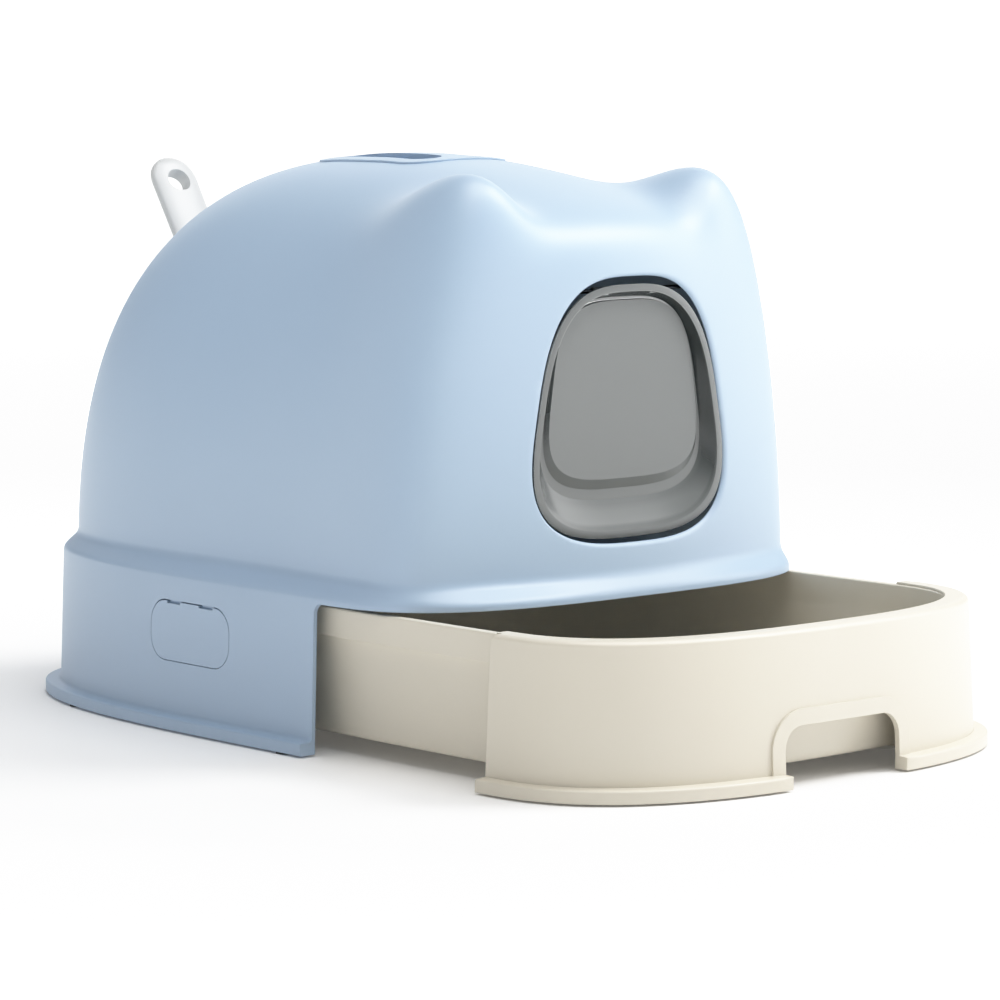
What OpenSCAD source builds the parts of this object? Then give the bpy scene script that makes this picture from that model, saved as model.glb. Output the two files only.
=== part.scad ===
// Drawer litter box: a one-piece hood with two ears and a flap door, over a pan that
// slides out at the front like a drawer. +Z up, front towards -Y, millimetres.
// Inside the modules y = 0 is the line where the skirt of the hood ends and the drawer
// front begins; the assembly is then shifted so that the origin is the bottom centre.

/* [Hood] */
// Width of the hood over its foot flange
hood_w = 422; // [410:2:450]
// Length of the hood behind the end of its skirt
skirt_len = 408; // [400:2:440]
// Reach of the hood's lip in front of the end of its skirt
lip_reach = 119.5; // [117:0.5:124]
// Height of the crown above the floor
hood_h = 401; // [390:1:420]
// Wall of the hood
wall = 3; // [2.6:0.1:3.6]
// Height of the lip above the drawer
lip_z = 104.8; // [104.6:0.2:107]
// Height of the foot of the dome, where the ledge ends
ledge_z = 120; // [117:1:124]
// How far the foot flange stands out
flange_out = 10; // [7:0.5:11]
// Height of the foot flanges
flange_h = 10; // [7:0.5:13]
// How far the skirt leans in over its height
skirt_draft = 2.5; // [1:0.5:4]
// Width of the ledge at the sides
ledge_w = 18.5; // [15:0.5:21]
// Width of the ledge at the back
ledge_back_w = 11.5; // [9:0.5:15]
// Width of the ledge at the front
ledge_front_w = 7.5; // [5.5:0.5:9]

/* [Ears] */
// Distance of each ear from the middle
ear_x = 109; // [104:0.5:112]
// How far the ears stand behind the front face
ear_set = 52; // [44:1:60]
// Half the width of an ear
ear_w = 62.5; // [56:0.5:66]
// How far the brow sinks between the ears
brow_drop = 47; // [36:1:50]

/* [Door] */
// Largest half width of the door opening
door_w = 88; // [80:1:91]
// Half the height of the door opening
door_h = 91; // [85:1:93]
// Height of the middle of the door opening
door_z = 232; // [230:1:234]
// Gap beside the door panel
door_gap = 3; // [2.4:0.2:4]
// Thickness of the door panel
door_t = 2.2; // [1.8:0.1:2.6]
// Depth of the dish of the door
dish_depth = 9.5; // [6:0.5:11]
// Distance of the panel behind the outer face of the hood
door_recess = 6; // [5.6:0.1:7]
// Diameter of the rod that the door turns on
rod_d = 3; // [2.6:0.1:3.4]

/* [Drawer] */
// How far the drawer is pulled out
pull_out = 179; // [20:1:300]
// Reach of the drawer front's flange beyond the end of the skirt
front_reach = 134.5; // [132:0.5:138]
// Height of the rim of the pan
tray_h = 102; // [99:0.2:102]
// Width of the rim band of the pan
band_w = 7; // [6:0.5:8]
// Height of the rim band of the pan
band_h = 20; // [14:1:24]
// Clearance of the pan under the hood, at the sides
tray_side_gap = 6; // [5:0.5:9]
// Clearance of the pan under the hood, at the back
tray_back_gap = 12.5; // [10:0.5:24]
// Wall of the pan and of the drawer front
tray_wall = 2.5; // [2:0.1:2.8]
// Height of the underside of the pan above the floor
tray_lift = 12; // [9:1:15]
// Half the width of the hand hole
hand_w = 54; // [46:1:58]
// Height of the hand hole
hand_h = 41; // [36:1:46]
// Width of the raised border of the hand hole
hand_rim = 11; // [7:0.5:13]

/* [Side latches] */
// Length of a latch plate
latch_len = 92; // [84:1:96]
// Height of a latch plate
latch_h = 42; // [40:1:44]
// Distance of the latch behind the end of the skirt
latch_y = 138; // [125:1:150]
// Height of the middle of the latch
latch_z = 69.5; // [68:0.5:71]
// Distance of each latch pin from the middle of the latch
latch_pin_y = 19; // [17:0.5:22]
// Diameter of the latch pins
latch_pin_d = 1.4; // [1.2:0.1:1.5]

/* [Scoop] */
// Lean of the scoop from upright, backwards
scoop_lean = 32; // [29:1:35]
// Length of the handle outside the hood
handle_len = 128; // [112:1:140]
// Width of the handle
handle_w = 37; // [32:1:40]
// Thickness of the handle
handle_t = 10; // [8:0.5:12]
// Width of the blade
blade_w = 92; // [84:1:94]
// Length of the blade
blade_len = 112; // [98:1:116]
// Depth of the blade
blade_deep = 22; // [18:1:24]

/* [Carry handle] */
// Distance of the carry handle's middle behind the end of the skirt
grip_y = 127; // [120:1:134]
// Length of a finger pocket
pocket_len = 105; // [92:1:108]
// Width of a finger pocket
pocket_w = 27; // [24:1:29]
// Width of the bar between the pockets
bar_w = 21; // [18:1:24]
// Depth of the pockets
pocket_deep = 22; // [18:1:25]

/* [Hidden] */

fit_gap = 0.3;          // between pieces that stand next to each other
seat_gap = 0.1;         // between pieces that are held together
run_gap = 0.05;         // round a shaft that turns
round_fn = 32;          // facets of plain rounds
ring_n = 72;            // points round the hood and the drawer
far_off = 600;          // larger than the box

// plan outlines: superellipses behind and in front of a middle line
back_round = 3.7;
front_round = 3.2;
drawer_round = 2.66;
tray_round = 4;

// dome
spring_z = ledge_z - 28;    // height at which the dome's profile is upright
dome_mid = skirt_len * 0.28;
plan_round = 3.52;
profile_round = 2.52;
brow_round = 12;
ear_drop = 8.7;             // the ears' own tips stay this far below the crown
front_lean = 0.025;         // lean of the front face, mm for each mm of height
front_bow = 0.001;          // bow of the front face, mm for each square mm of width
front_blend = 10;
ear_blend = 10.2;
ear_l = 135;
ear_h = 256;
ear_z = hood_h - ear_h - ear_drop;
wall_top_inset = flange_out + skirt_draft;
dome_half_w = hood_w / 2 - wall_top_inset - ledge_w;
dome_half_l = skirt_len - wall_top_inset - ledge_back_w - dome_mid;
dome_rise = hood_h - spring_z;
front_y = -(lip_reach - ledge_front_w);
ear_y = front_y + ear_set;
lip_len = lip_reach + wall_top_inset;
mouth_corner = 7;           // rounding of the opening for the drawer
foot = 1.5;                 // the flanges stay this far above the floor
pad_y0 = 25;
pad_back = 123;             // from the back of the hood to the rear pads

// door
door_taper = 0.19;
egg_round = 3.07;
door_top_gap = 5.5;
door_low_gap = 2.5;
panel_w = door_w - door_gap;
panel_h = door_h - (door_top_gap + door_low_gap) / 2;
panel_z = door_z - (door_top_gap - door_low_gap) / 2;
rim_w = 5;                  // flat rim round the dish
dish_w = panel_w - 18.5;
dish_h = panel_h - 24;
dish_z = panel_z + 12.5;
dish_taper = 0.13;
rod_z = panel_z + panel_h - 4;
face_at_rod = front_y + front_lean * (rod_z - ledge_z);
panel_y = face_at_rod + door_recess;
rod_back = 6.4;             // the rod is above the middle of the panel's mass
bracket_in = 118;           // from the side of the dome
bracket_x = dome_half_w - bracket_in;
bracket_w = 7;
cap_t = 3.5;
cap_d = rod_d + 3.5;
cap_end = 1;
cap_room = 1.2;             // from a rod cap to the inside of the bowed front
rod_half = bracket_x + bracket_w / 2 + fit_gap + cap_t - cap_end;
bow_at_cap = front_bow * pow(rod_half + cap_end, 2);
rod_y = max(panel_y + rod_back, face_at_rod + bow_at_cap + wall + cap_d / 2 + cap_room);
lug_r = rod_d / 2 + 1.15;
lug_x = 25;
lug_w = 10;
boss_y = rod_y + 3.2;
boss_z0 = rod_z + 6;
boss_h = 24;
plate_w = 22;
plate_h = 16;
plate_t = 3;
screw_d = 3.5;
screw_head_d = 6.5;
screw_head_t = 2;
screw_len = 10;
screw_x = 6.5;

// drawer
drawer_y = -pull_out;
front_gap = 1;              // between the drawer front and the end of the skirt, when shut
front_back_y = -front_gap;
inner_top_w = hood_w / 2 - wall_top_inset - wall;
inner_top_l = skirt_len - wall_top_inset - wall;
tray_w = inner_top_w - tray_side_gap - band_w;       // half width inside the rim
tray_l = inner_top_l - tray_back_gap - band_w;       // reach inside the rim, back
front_wall_in = 9;          // the drawer front's wall stands this far inside its flange
front_wall_top = 13.5;
tray_f = front_reach - front_wall_top - tray_wall - 1 - band_w;
tray_lean = 7;              // how far the pan narrows towards its floor
front_w = hood_w / 2 + 2.3;
front_top = tray_h + 1.8;
front_rim_w = 14.8;         // width of the drawer front's rim
rib_pitch = tray_l * 0.22;  // between the cross ribs under the pan
skid_x = 118;
skid_w = 14;
skid_y0 = -60;
skid_y1 = tray_l - 73;
guide_x = tray_w + tray_wall;       // side of the lugs that guide the pan in the skirt
guide_z = 54;
guide_h = 8;
guide_len = 30;
guide_y0 = 28;              // front end of the skirt's ribs
guide_lug_y = 222;          // middle of the lugs behind the middle line of the pan
glide_t = 3;
glide_l = 60;
hand_corner = 16;
hand_proud = 1.5;
hand_cut = 140;             // length of the hand hole's cut
ear_plate_y = front_back_y - tray_wall - seat_gap;
ear_plate_x = tray_w + band_w + 6;
clip_x = tray_w + band_w + 2.3;
clip_d = 3;
clip_head_d = 5;
clip_head_t = 0.7;
clip_zs = [36, 68];

// latches
latch_corner = 17;
latch_gap = 0.8;
latch_t = wall;
latch_in = 0.3;             // the flat plate sits this far behind the curved skirt
latch_axis_drop = 2.2;      // pins below the upper edge of the plate
latch_axis_in = 2.2;        // and behind its face
latch_skin = 0.7;           // front of the plate, in front of the lugs
latch_lug_r = 1.3;
latch_lug_play = 0.4;
latch_back = 1.2;           // thickening of the plate round the pins
slit_len = 16;
slit_deep = 1.6;
latch_lug_len = slit_len - 2;
latch_pin_len = 24;
hook_w = 18;
hook_t = 3.5;
hook_clear = 1.6;           // between the hook's tip and the wall of the pan

// scoop
scoop_z = 281;              // where the axis of the scoop passes through the dome
scoop_y = dome_mid + dome_half_l - 35;
slot_r = blade_deep / 2 + 5;
slot_half = blade_w / 2 + 3 - slot_r;
holder_wall = 2;
holder_deep = blade_len + fit_gap + holder_wall;
holder_rib_w = 4;
holder_rib_x = 25;          // between the sifting slots of the blade
holder_rib_top = -30;       // below the mouth of the pocket
collar_out = 5;
collar_t = 1.8;
collar_ear = 12;
edge_soft = 1.5;            // rounding of the handle's edges
blade_wall = 2.2;
blade_corner = 10;
blade_top = -8;
hole_w = 19;
hole_at = handle_len - 20;
holder_screw_len = 9;
seek = 100;                 // the search for the dome's skin starts this far below the scoop's slot

// carry handle
grip_edge = 10;             // rim round the pockets
grip_step = 4;              // part of the rim that lies on the hood
grip_rim_t = 1.3;           // the rim stands this proud of the hood
grip_half_w = bar_w / 2 + pocket_w + grip_edge;
grip_floor_t = 2.4;
grip_z0 = hood_h - pocket_deep - grip_floor_t - 4;
snap_w = 14;
snap_t = 2.2;

// assembly: the length of the box runs from the drawer front to the tip of the scoop
scoop_tip_y = scoop_y + (handle_len - edge_soft) * sin(scoop_lean)
    + handle_t / 2 * cos(scoop_lean);
drawer_tip_y = drawer_y
    - front_reach * pow(1 - pow((hand_w + hand_rim) / front_w, drawer_round), 1 / drawer_round);
centre_y = (scoop_tip_y + drawer_tip_y) / 2;

// ---------------------------------------------------------------- shape functions

function soft_max(a, b, k) = k * ln(exp(a / k) + exp(b / k));
function soft_min(a, b, k) = -soft_max(-a, -b, k);
function spow(v, p) = sign(v) * pow(abs(v), p);
function round_sum(a, b, p) = pow(pow(a, p) + pow(b, p), 1 / p);

// last radius at which inside(r) is true, found by halving
function edge_of(inside, lo, hi, n = 15) =
    n == 0 ? lo :
    let (mid = (lo + hi) / 2)
    inside(mid) ? edge_of(inside, mid, hi, n - 1) : edge_of(inside, lo, mid, n - 1);

// the dome with its ears and front face: inside where this is below 0
function dome_level(x, y, z) =
    let (ax = abs(x))
    let (across = round_sum(ax / dome_half_w, max(y - dome_mid, 0) / dome_half_l, plan_round))
    let (forward = min(max((dome_mid - y) / (dome_mid - front_y), 0), 1.3))
    let (rise = max(z - spring_z, 0) / (dome_rise - brow_drop * forward * forward))
    let (arch = round_sum(across, rise, profile_round))
    let (dome = (round_sum(arch, max(dome_mid - y, 0) / dome_half_l, brow_round) - 1) * dome_half_w)
    let (ear_in = [(ax - ear_x) / ear_w, (y - ear_y) / ear_l, (z - ear_z) / ear_h])
    let (ear = (norm(ear_in) - 1) * ear_w)
    let (front = front_y + front_lean * (z - ledge_z) + front_bow * x * x - y)
    soft_max(soft_min(dome, ear, ear_blend), front, front_blend);

// point of the dome seen from the middle of its foot, moved out by grow
function dome_point(turn, tilt, grow) =
    let (dx = cos(tilt) * cos(turn))
    let (dy = cos(tilt) * sin(turn))
    let (dz = sin(tilt))
    let (r = grow + edge_of(function(r)
        dome_level(dx * r, dome_mid + dy * r, ledge_z + dz * r) < 0, 0, far_off))
    [dx * r, dome_mid + dy * r, ledge_z + dz * r];

// point at height z on a plan outline of half width w that reaches back and front from y = 0
function plan_point(turn, z, w, back, front, back_m, front_m, mid) =
    let (dx = cos(turn))
    let (dy = sin(turn))
    let (r = edge_of(function(r)
        let (y = mid + dy * r)
        y > 0 ? pow(abs(dx) * r / w, back_m) + pow(y / back, back_m) < 1
              : pow(abs(dx) * r / w, front_m) + pow(-y / front, front_m) < 1, 0, far_off))
    [dx * r, mid + dy * r, z];

turns = [for (i = [0 : ring_n - 1]) i * 360 / ring_n];

// rings of the skirt, moved in by inset
function skirt_ring(inset, z) =
    [for (a = turns) plan_point(a, z, hood_w / 2 - inset, skirt_len - inset, lip_len - inset,
        back_round, front_round, dome_mid)];

tilts = [0, 3, 7, 12, 17, 22, 27, 31, 35, 39, 43, 46, 49, 52, 55, 58, 62, 66, 70, 75, 80, 85];
function dome_rings(grow) = [for (e = tilts) [for (a = turns) dome_point(a, e, grow)]];
function dome_pole(grow) = dome_point(0, 90, grow);

// rings of the pan, moved out by out from the inner edge of its rim
function tray_ring(out, z) =
    [for (a = turns) plan_point(a, z, tray_w + out, tray_l + out, tray_f + out,
        tray_round, drawer_round, 0)];

// rings of the drawer front, straight behind its middle line
function front_ring(inset, z) =
    [for (a = turns) plan_point(a, z, front_w - inset, 60, front_reach - inset,
        30, drawer_round, 0)];

// egg outline in the plane of the door
function egg(w, h, taper, zc, n = 48) =
    [for (i = [0 : n - 1])
        let (a = i * 360 / n)
        let (t = spow(sin(a), 2 / egg_round))
        [w * (1 - taper * t) * spow(cos(a), 2 / egg_round), zc + h * t]];

// half width of the skirt at y, moved in by inset
function skirt_x(y, inset) =
    (hood_w / 2 - inset) * pow(1 - pow(y / (skirt_len - inset), back_round), 1 / back_round);

// a stack of rings of equal count, closed by a flat end or by a pole at the top
module ring_stack(rings, pole = undef) {
    n = len(rings[0]);
    k = len(rings);
    flat = [for (r = rings) each r];
    points = is_undef(pole) ? flat : concat(flat, [pole]);
    sides = [for (j = [0 : k - 2]) for (i = [0 : n - 1])
        let (a = j * n + i)
        let (b = j * n + (i + 1) % n)
        each [[a, a + n, b], [b, a + n, b + n]]];
    bottom = [[for (i = [0 : n - 1]) i]];
    top_end = is_undef(pole)
        ? [[for (i = [n - 1 : -1 : 0]) (k - 1) * n + i]]
        : [for (i = [0 : n - 1]) [(k - 1) * n + i, k * n, (k - 1) * n + (i + 1) % n]];
    polyhedron(points = points, faces = concat(sides, bottom, top_end), convexity = 8);
}

module placed() translate([0, -centre_y, 0]) children();
module drawer_placed() translate([0, drawer_y - centre_y, 0]) children();
module both_sides() {
    children();
    mirror([1, 0, 0]) children();
}

// upright bar with round ends
module slot_bar(half_w, half_l, z0, z1) {
    r = min(half_w, half_l);
    hull() for (s = [-1, 1])
        translate([0, s * (half_l - r), z0]) cylinder(r = r, h = z1 - z0, $fn = round_fn);
}

// ---------------------------------------------------------------- hood

// solid that fills the hood to its outside
module hood_body() {
    ring_stack(concat([
        skirt_ring(0, foot),
        skirt_ring(0, flange_h - 1.5),
        skirt_ring(1.5, flange_h),
        skirt_ring(flange_out - 2, flange_h + 0.5),
        skirt_ring(flange_out, flange_h + 3),
        skirt_ring(wall_top_inset, lip_z),
        skirt_ring(wall_top_inset + 0.6, lip_z + 3.4),
        skirt_ring(wall_top_inset + 2.4, lip_z + 6)],
        dome_rings(0)), dome_pole(0));
}

module hood_hollow() {
    ring_stack(concat([
        skirt_ring(flange_out + wall, -1),
        skirt_ring(flange_out + wall, flange_h),
        skirt_ring(wall_top_inset + wall, lip_z - wall),
        skirt_ring(wall_top_inset + wall + 2, lip_z + 3)],
        dome_rings(-wall)), dome_pole(-wall));
}

// opening under the lip that the drawer comes out of
module drawer_opening(back = 0, top = lip_z) {
    hull() {
        translate([-far_off / 2, back - far_off, -1]) cube([far_off, far_off, 1]);
        translate([-far_off / 2, back - far_off, top - mouth_corner])
            cube([far_off, far_off - mouth_corner, mouth_corner]);
        translate([0, back - mouth_corner, top - mouth_corner]) rotate([0, 90, 0])
            cylinder(r = mouth_corner, h = far_off, center = true, $fn = round_fn);
    }
}

module door_opening() {
    translate([0, front_y + 60, 0]) rotate([90, 0, 0])
        linear_extrude(height = far_off) polygon(egg(door_w, door_h, door_taper, door_z));
}

module hinge_boss() {
    hull() {
        translate([bracket_x - plate_w / 2, face_at_rod, boss_z0])
            cube([plate_w, boss_y - face_at_rod, boss_h - 8]);
        translate([bracket_x - plate_w / 2, face_at_rod, boss_z0 + boss_h - 1])
            cube([plate_w, 8, 1]);
    }
}

module bracket_screw_holes(gap) {
    for (s = [-1, 1])
        translate([bracket_x + s * screw_x, boss_y + plate_t + 1, boss_z0 + plate_h / 2])
            rotate([90, 0, 0]) cylinder(d = screw_d + 2 * gap, h = screw_len + 1.5, $fn = 24);
}

// frame of the scoop: z along the handle, x across it
module scoop_frame() translate([0, scoop_y, scoop_z]) rotate([-scoop_lean, 0, 0]) children();

module scoop_slot(grow, z0, z1) {
    hull() for (s = [-1, 1])
        translate([s * slot_half, 0, z0]) cylinder(r = slot_r + grow, h = z1 - z0, $fn = round_fn);
}

// screws of the scoop's holder, square to the dome
holder_screw_x = slot_half + slot_r + holder_wall + 6;
holder_screw_at =
    let (r = edge_of(function(r)
        dome_level(holder_screw_x, scoop_y + (r - seek) * sin(scoop_lean),
            scoop_z + (r - seek) * cos(scoop_lean)) < 0, 0, 2 * seek))
    [holder_screw_x, scoop_y + (r - seek) * sin(scoop_lean), scoop_z + (r - seek) * cos(scoop_lean)];
holder_screw_dir =
    let (p = holder_screw_at)
    let (g = [dome_level(p.x + 1, p.y, p.z) - dome_level(p.x - 1, p.y, p.z),
        dome_level(p.x, p.y + 1, p.z) - dome_level(p.x, p.y - 1, p.z),
        dome_level(p.x, p.y, p.z + 1) - dome_level(p.x, p.y, p.z - 1)])
    g / norm(g);
module holder_screw_place()
    translate(holder_screw_at)
        rotate([0, acos(holder_screw_dir.z), atan2(holder_screw_dir.y, holder_screw_dir.x)])
            children();
module holder_screw_bar(d)
    holder_screw_place() translate([0, 0, -14]) cylinder(d = d, h = 28, $fn = 24);

// frame of the left latch: x outwards through the skirt, y along it, z up
latch_inset = flange_out + skirt_draft * (latch_z - flange_h) / (lip_z - flange_h);
latch_x = skirt_x(latch_y, latch_inset);
latch_turn = atan((skirt_x(latch_y - 30, latch_inset) - skirt_x(latch_y + 30, latch_inset)) / 60);
latch_tip = atan(skirt_draft / (lip_z - flange_h));
latch_axis_z = latch_h / 2 - latch_axis_drop;
module latch_frame() {
    mirror([1, 0, 0]) translate([latch_x, latch_y, latch_z])
        rotate([0, 0, latch_turn]) rotate([0, -latch_tip, 0]) translate([-latch_in, 0, 0])
            children();
}

module latch_outline(grow, x0, x1) {
    hull() for (sy = [-1, 1]) for (sz = [-1, 1])
        translate([x0, sy * (latch_len / 2 - latch_corner), sz * (latch_h / 2 - latch_corner)])
            rotate([0, 90, 0]) cylinder(r = latch_corner + grow, h = x1 - x0, $fn = 48);
}

module latch_pin_bar(d, length) {
    translate([-latch_axis_in, 0, latch_axis_z]) rotate([90, 0, 0])
        cylinder(d = d, h = length, center = true, $fn = 24);
}

// lug of the hood behind a slit of the latch, with the hole for its pin
module latch_lug() {
    neck = 2 * latch_lug_r - 0.5;
    difference() {
        union() {
            latch_pin_bar(2 * latch_lug_r, latch_lug_len);
            translate([-latch_axis_in - latch_lug_r, -latch_lug_len / 2, latch_axis_z])
                cube([neck, latch_lug_len, latch_axis_drop + latch_gap + 3]);
        }
        latch_pin_bar(latch_pin_d + 2 * seat_gap, far_off / 10);
    }
}

module hood_shell() placed() color("#BFD6EA") {
    difference() {
        union() {
            difference() {
                hood_body();
                hood_hollow();
            }
            intersection() {
                hood_body();
                both_sides() {
                    hinge_boss();
                    holder_screw_place() translate([0, 0, -holder_screw_len - 2])
                        cylinder(d = 8, h = holder_screw_len + 4, $fn = 24);
                }
            }
        }
        drawer_opening();
        door_opening();
        grip_outline(grip_edge - grip_step, grip_z0 - 20);
        scoop_frame() scoop_slot(holder_wall + seat_gap, -60, 60);
        both_sides() bracket_screw_holes(seat_gap);
        both_sides() latch_frame() latch_outline(latch_gap, -25, 25);
        both_sides() holder_screw_bar(screw_d + 2 * seat_gap);
    }
    both_sides() {
        for (s = [-1, 1]) latch_frame() translate([0, s * latch_pin_y, 0]) latch_lug();
        guide_rib();
    }
}

// rib inside the skirt, beside a lug of the pan
module guide_rib() {
    hull() {
        translate([inner_top_w + wall / 2, guide_y0, guide_z - guide_h])
            cube([1, guide_len, 2 * guide_h]);
        translate([guide_x + fit_gap, guide_y0 + 2, guide_z - guide_h / 2])
            cube([1, guide_len - 4, guide_h]);
    }
}

// pads under the foot flange
module anti_slip_feet() placed() color("#3A3D40") {
    pad_d = flange_out + wall - 1;
    for (side = [-1, 1]) for (y = [pad_y0, skirt_len - pad_back]) {
        x = (skirt_x(y, 0) + skirt_x(y, flange_out + wall)) / 2;
        translate([side * x, y, 0]) cylinder(d = pad_d, h = foot, $fn = round_fn);
    }
}

// ---------------------------------------------------------------- carry handle

// outline round both finger pockets, moved out by grow
module grip_outline(grow, z0)
    hull() for (s = [-1, 1]) translate([s * (bar_w + pocket_w) / 2, grip_y, 0])
        slot_bar(pocket_w / 2 + grow, pocket_len / 2 + grow, z0, hood_h + 20);

module carry_handle() placed() color("#BFD6EA") {
    difference() {
        intersection() {
            ring_stack(dome_rings(grip_rim_t), dome_pole(grip_rim_t));
            union() {
                grip_outline(grip_edge - grip_step - fit_gap, grip_z0);
                difference() {
                    grip_outline(grip_edge, grip_z0);
                    ring_stack(dome_rings(seat_gap), dome_pole(seat_gap));
                }
            }
        }
        for (s = [-1, 1]) translate([s * (bar_w + pocket_w) / 2, grip_y, 0])
            slot_bar(pocket_w / 2, pocket_len / 2, grip_z0 + grip_floor_t, hood_h + 20);
    }
    // snaps that hold the insert under the wall of the hood
    for (sx = [-1, 1]) for (sy = [-1, 1])
        translate([sx * (grip_half_w - grip_step - fit_gap), grip_y + sy * 22, 0]) hull() {
            translate([0, 0, grip_z0 + 4]) cube([1, snap_w, 2], center = true);
            translate([sx * snap_t / 2, 0, hood_h - wall - 8 - grip_rim_t])
                cube([snap_t, snap_w, 1], center = true);
        }
}

// ---------------------------------------------------------------- door

module egg_slab(w, h, taper, zc, y, t)
    translate([0, y + t, 0]) rotate([90, 0, 0])
        linear_extrude(height = t) polygon(egg(w, h, taper, zc));

// loft from the rim to the floor of the dish
module dish(shift, grow, y0) {
    hull() {
        egg_slab(panel_w - rim_w + grow, panel_h - rim_w + grow, door_taper, panel_z,
            panel_y + y0, shift - y0 + seat_gap);
        egg_slab(dish_w + grow, dish_h + grow, dish_taper, dish_z,
            panel_y + dish_depth + shift - seat_gap, seat_gap);
    }
}

module rod_bar(d, length, x = 0)
    translate([x, rod_y, rod_z]) rotate([0, 90, 0])
        cylinder(d = d, h = length, center = true, $fn = round_fn);

module door_panel() placed() color("#8E9496") {
    difference() {
        union() {
            egg_slab(panel_w, panel_h, door_taper, panel_z, panel_y, door_t);
            dish(door_t, 0.8, door_t / 2);
            both_sides() hull() {
                rod_bar(2 * lug_r, lug_w, lug_x);
                translate([lug_x - lug_w / 2, panel_y + door_t / 2, rod_z - 2.8])
                    cube([lug_w, door_t / 2, 4]);
            }
        }
        dish(0, 0, -1);
        rod_bar(rod_d + 2 * run_gap, 4 * lug_x);
    }
}

module door_rod() placed() color("#C4C8CC") rod_bar(rod_d, 2 * rod_half);

module rod_caps() placed() color("#3A3D40")
    both_sides() difference() {
        rod_bar(cap_d, cap_t, bracket_x + bracket_w / 2 + fit_gap + cap_t / 2);
        rod_bar(rod_d + 2 * run_gap, 2 * rod_half + fit_gap);
    }

module hinge_bracket() {
    difference() {
        union() {
            translate([bracket_x - plate_w / 2, boss_y, boss_z0 - 1])
                cube([plate_w, plate_t, plate_h + 1]);
            hull() {
                rod_bar(rod_d + 3.4, bracket_w, bracket_x);
                translate([bracket_x - bracket_w / 2, boss_y, boss_z0 - 1])
                    cube([bracket_w, plate_t, 1]);
            }
        }
        rod_bar(rod_d + 2 * seat_gap, far_off);
        bracket_screw_holes(seat_gap);
    }
}
module hinge_bracket_left() placed() color("#BFD6EA") mirror([1, 0, 0]) hinge_bracket();
module hinge_bracket_right() placed() color("#BFD6EA") hinge_bracket();

// pan-head screw along z, its head above 0
module screw(length) {
    translate([0, 0, -length]) cylinder(d = screw_d, h = length + screw_head_t / 2, $fn = 24);
    cylinder(d1 = screw_head_d, d2 = screw_head_d - 2, h = screw_head_t, $fn = 24);
}

module bracket_screws() placed() color("#C4C8CC")
    both_sides() for (s = [-1, 1])
        translate([bracket_x + s * screw_x, boss_y + plate_t, boss_z0 + plate_h / 2])
            rotate([-90, 0, 0]) screw(screw_len);

// ---------------------------------------------------------------- drawer

module litter_tray() drawer_placed() color("#E9E4D8") {
    low = tray_wall - tray_lean;
    difference() {
        union() {
            ring_stack([
                tray_ring(low - 10, tray_lift),
                tray_ring(low - 4, tray_lift + 2),
                tray_ring(low, tray_lift + 9),
                tray_ring(tray_wall, tray_h - band_h - 0.5),
                tray_ring(band_w, tray_h - band_h),
                tray_ring(band_w, tray_h - 1.5),
                tray_ring(band_w - 1.2, tray_h)]);
            both_sides() guide_lug();
        }
        ring_stack([
            tray_ring(low - 13, tray_lift + tray_wall),
            tray_ring(low - 6, tray_lift + tray_wall + 2),
            tray_ring(low - tray_wall, tray_lift + tray_wall + 8),
            tray_ring(0, tray_h - band_h),
            tray_ring(0, tray_h - 1),
            tray_ring(0.8, tray_h + 1)]);
    }
    // skids and cross ribs under the floor
    for (s = [-1, 1]) translate([s * skid_x, 0, 0]) hull() {
        translate([0, skid_y0, glide_t]) cylinder(d = skid_w, h = tray_lift + 1 - glide_t, $fn = round_fn);
        translate([0, skid_y1, glide_t]) cylinder(d = skid_w, h = tray_lift + 1 - glide_t, $fn = round_fn);
    }
    for (i = [0 : 3]) hull() for (s = [-1, 1])
        translate([s * skid_x, i * rib_pitch, tray_lift - 3]) cylinder(d = 3, h = 4, $fn = 16);
    // ears that the drawer front is clipped to
    both_sides() difference() {
        hull() {
            translate([tray_w + tray_wall - tray_lean - 0.5, ear_plate_y - tray_wall, 24])
                cube([ear_plate_x - tray_w - tray_wall + tray_lean, tray_wall, 12]);
            translate([tray_w + 0.5, ear_plate_y - tray_wall, tray_h - band_h - 4])
                cube([ear_plate_x - tray_w - 1, tray_wall, 3]);
        }
        clip_holes();
    }
}

// lug on the side of the pan that runs beside a rib of the skirt
module guide_lug() {
    r = guide_h / 2;
    hull() for (s = [-1, 1]) for (x = [guide_x - r, guide_x - 5 * r])
        translate([x, guide_lug_y + s * (guide_len / 2 - r), guide_z - guide_h / 2])
            cylinder(r = r, h = guide_h, $fn = round_fn);
}

module clip_holes()
    for (z = clip_zs) translate([clip_x, ear_plate_y + far_off / 2, z]) rotate([90, 0, 0])
        cylinder(d = clip_d + 2 * seat_gap, h = far_off, $fn = 24);

module tray_glides() drawer_placed() color("#F2F2EE")
    for (s = [-1, 1]) for (y = [skid_y0 + glide_l / 2, skid_y1 - glide_l / 2])
        translate([s * skid_x, y, 0]) slot_bar(skid_w / 2, glide_l / 2, 0, glide_t);

// arch of the hand hole, seen from the front
module hand_arch(grow, top_grow) {
    r = hand_corner + grow;
    translate([0, -40, 0]) rotate([90, 0, 0]) hull() {
        for (s = [-1, 1]) translate([s * (hand_w + grow - r), hand_h + top_grow - r, 0])
            cylinder(r = r, h = hand_cut, $fn = round_fn);
        translate([-hand_w - grow, -2, 0]) cube([2 * (hand_w + grow), 1, hand_cut]);
    }
}

// the wall's upper back corner, rounded to fit the opening of the hood
module wall_corner() {
    difference() {
        translate([inner_top_w - 1, front_back_y - mouth_corner, tray_h - mouth_corner])
            cube([far_off / 10, 2 * mouth_corner, 2 * mouth_corner]);
        drawer_opening(front_back_y, front_top);
    }
}

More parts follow.
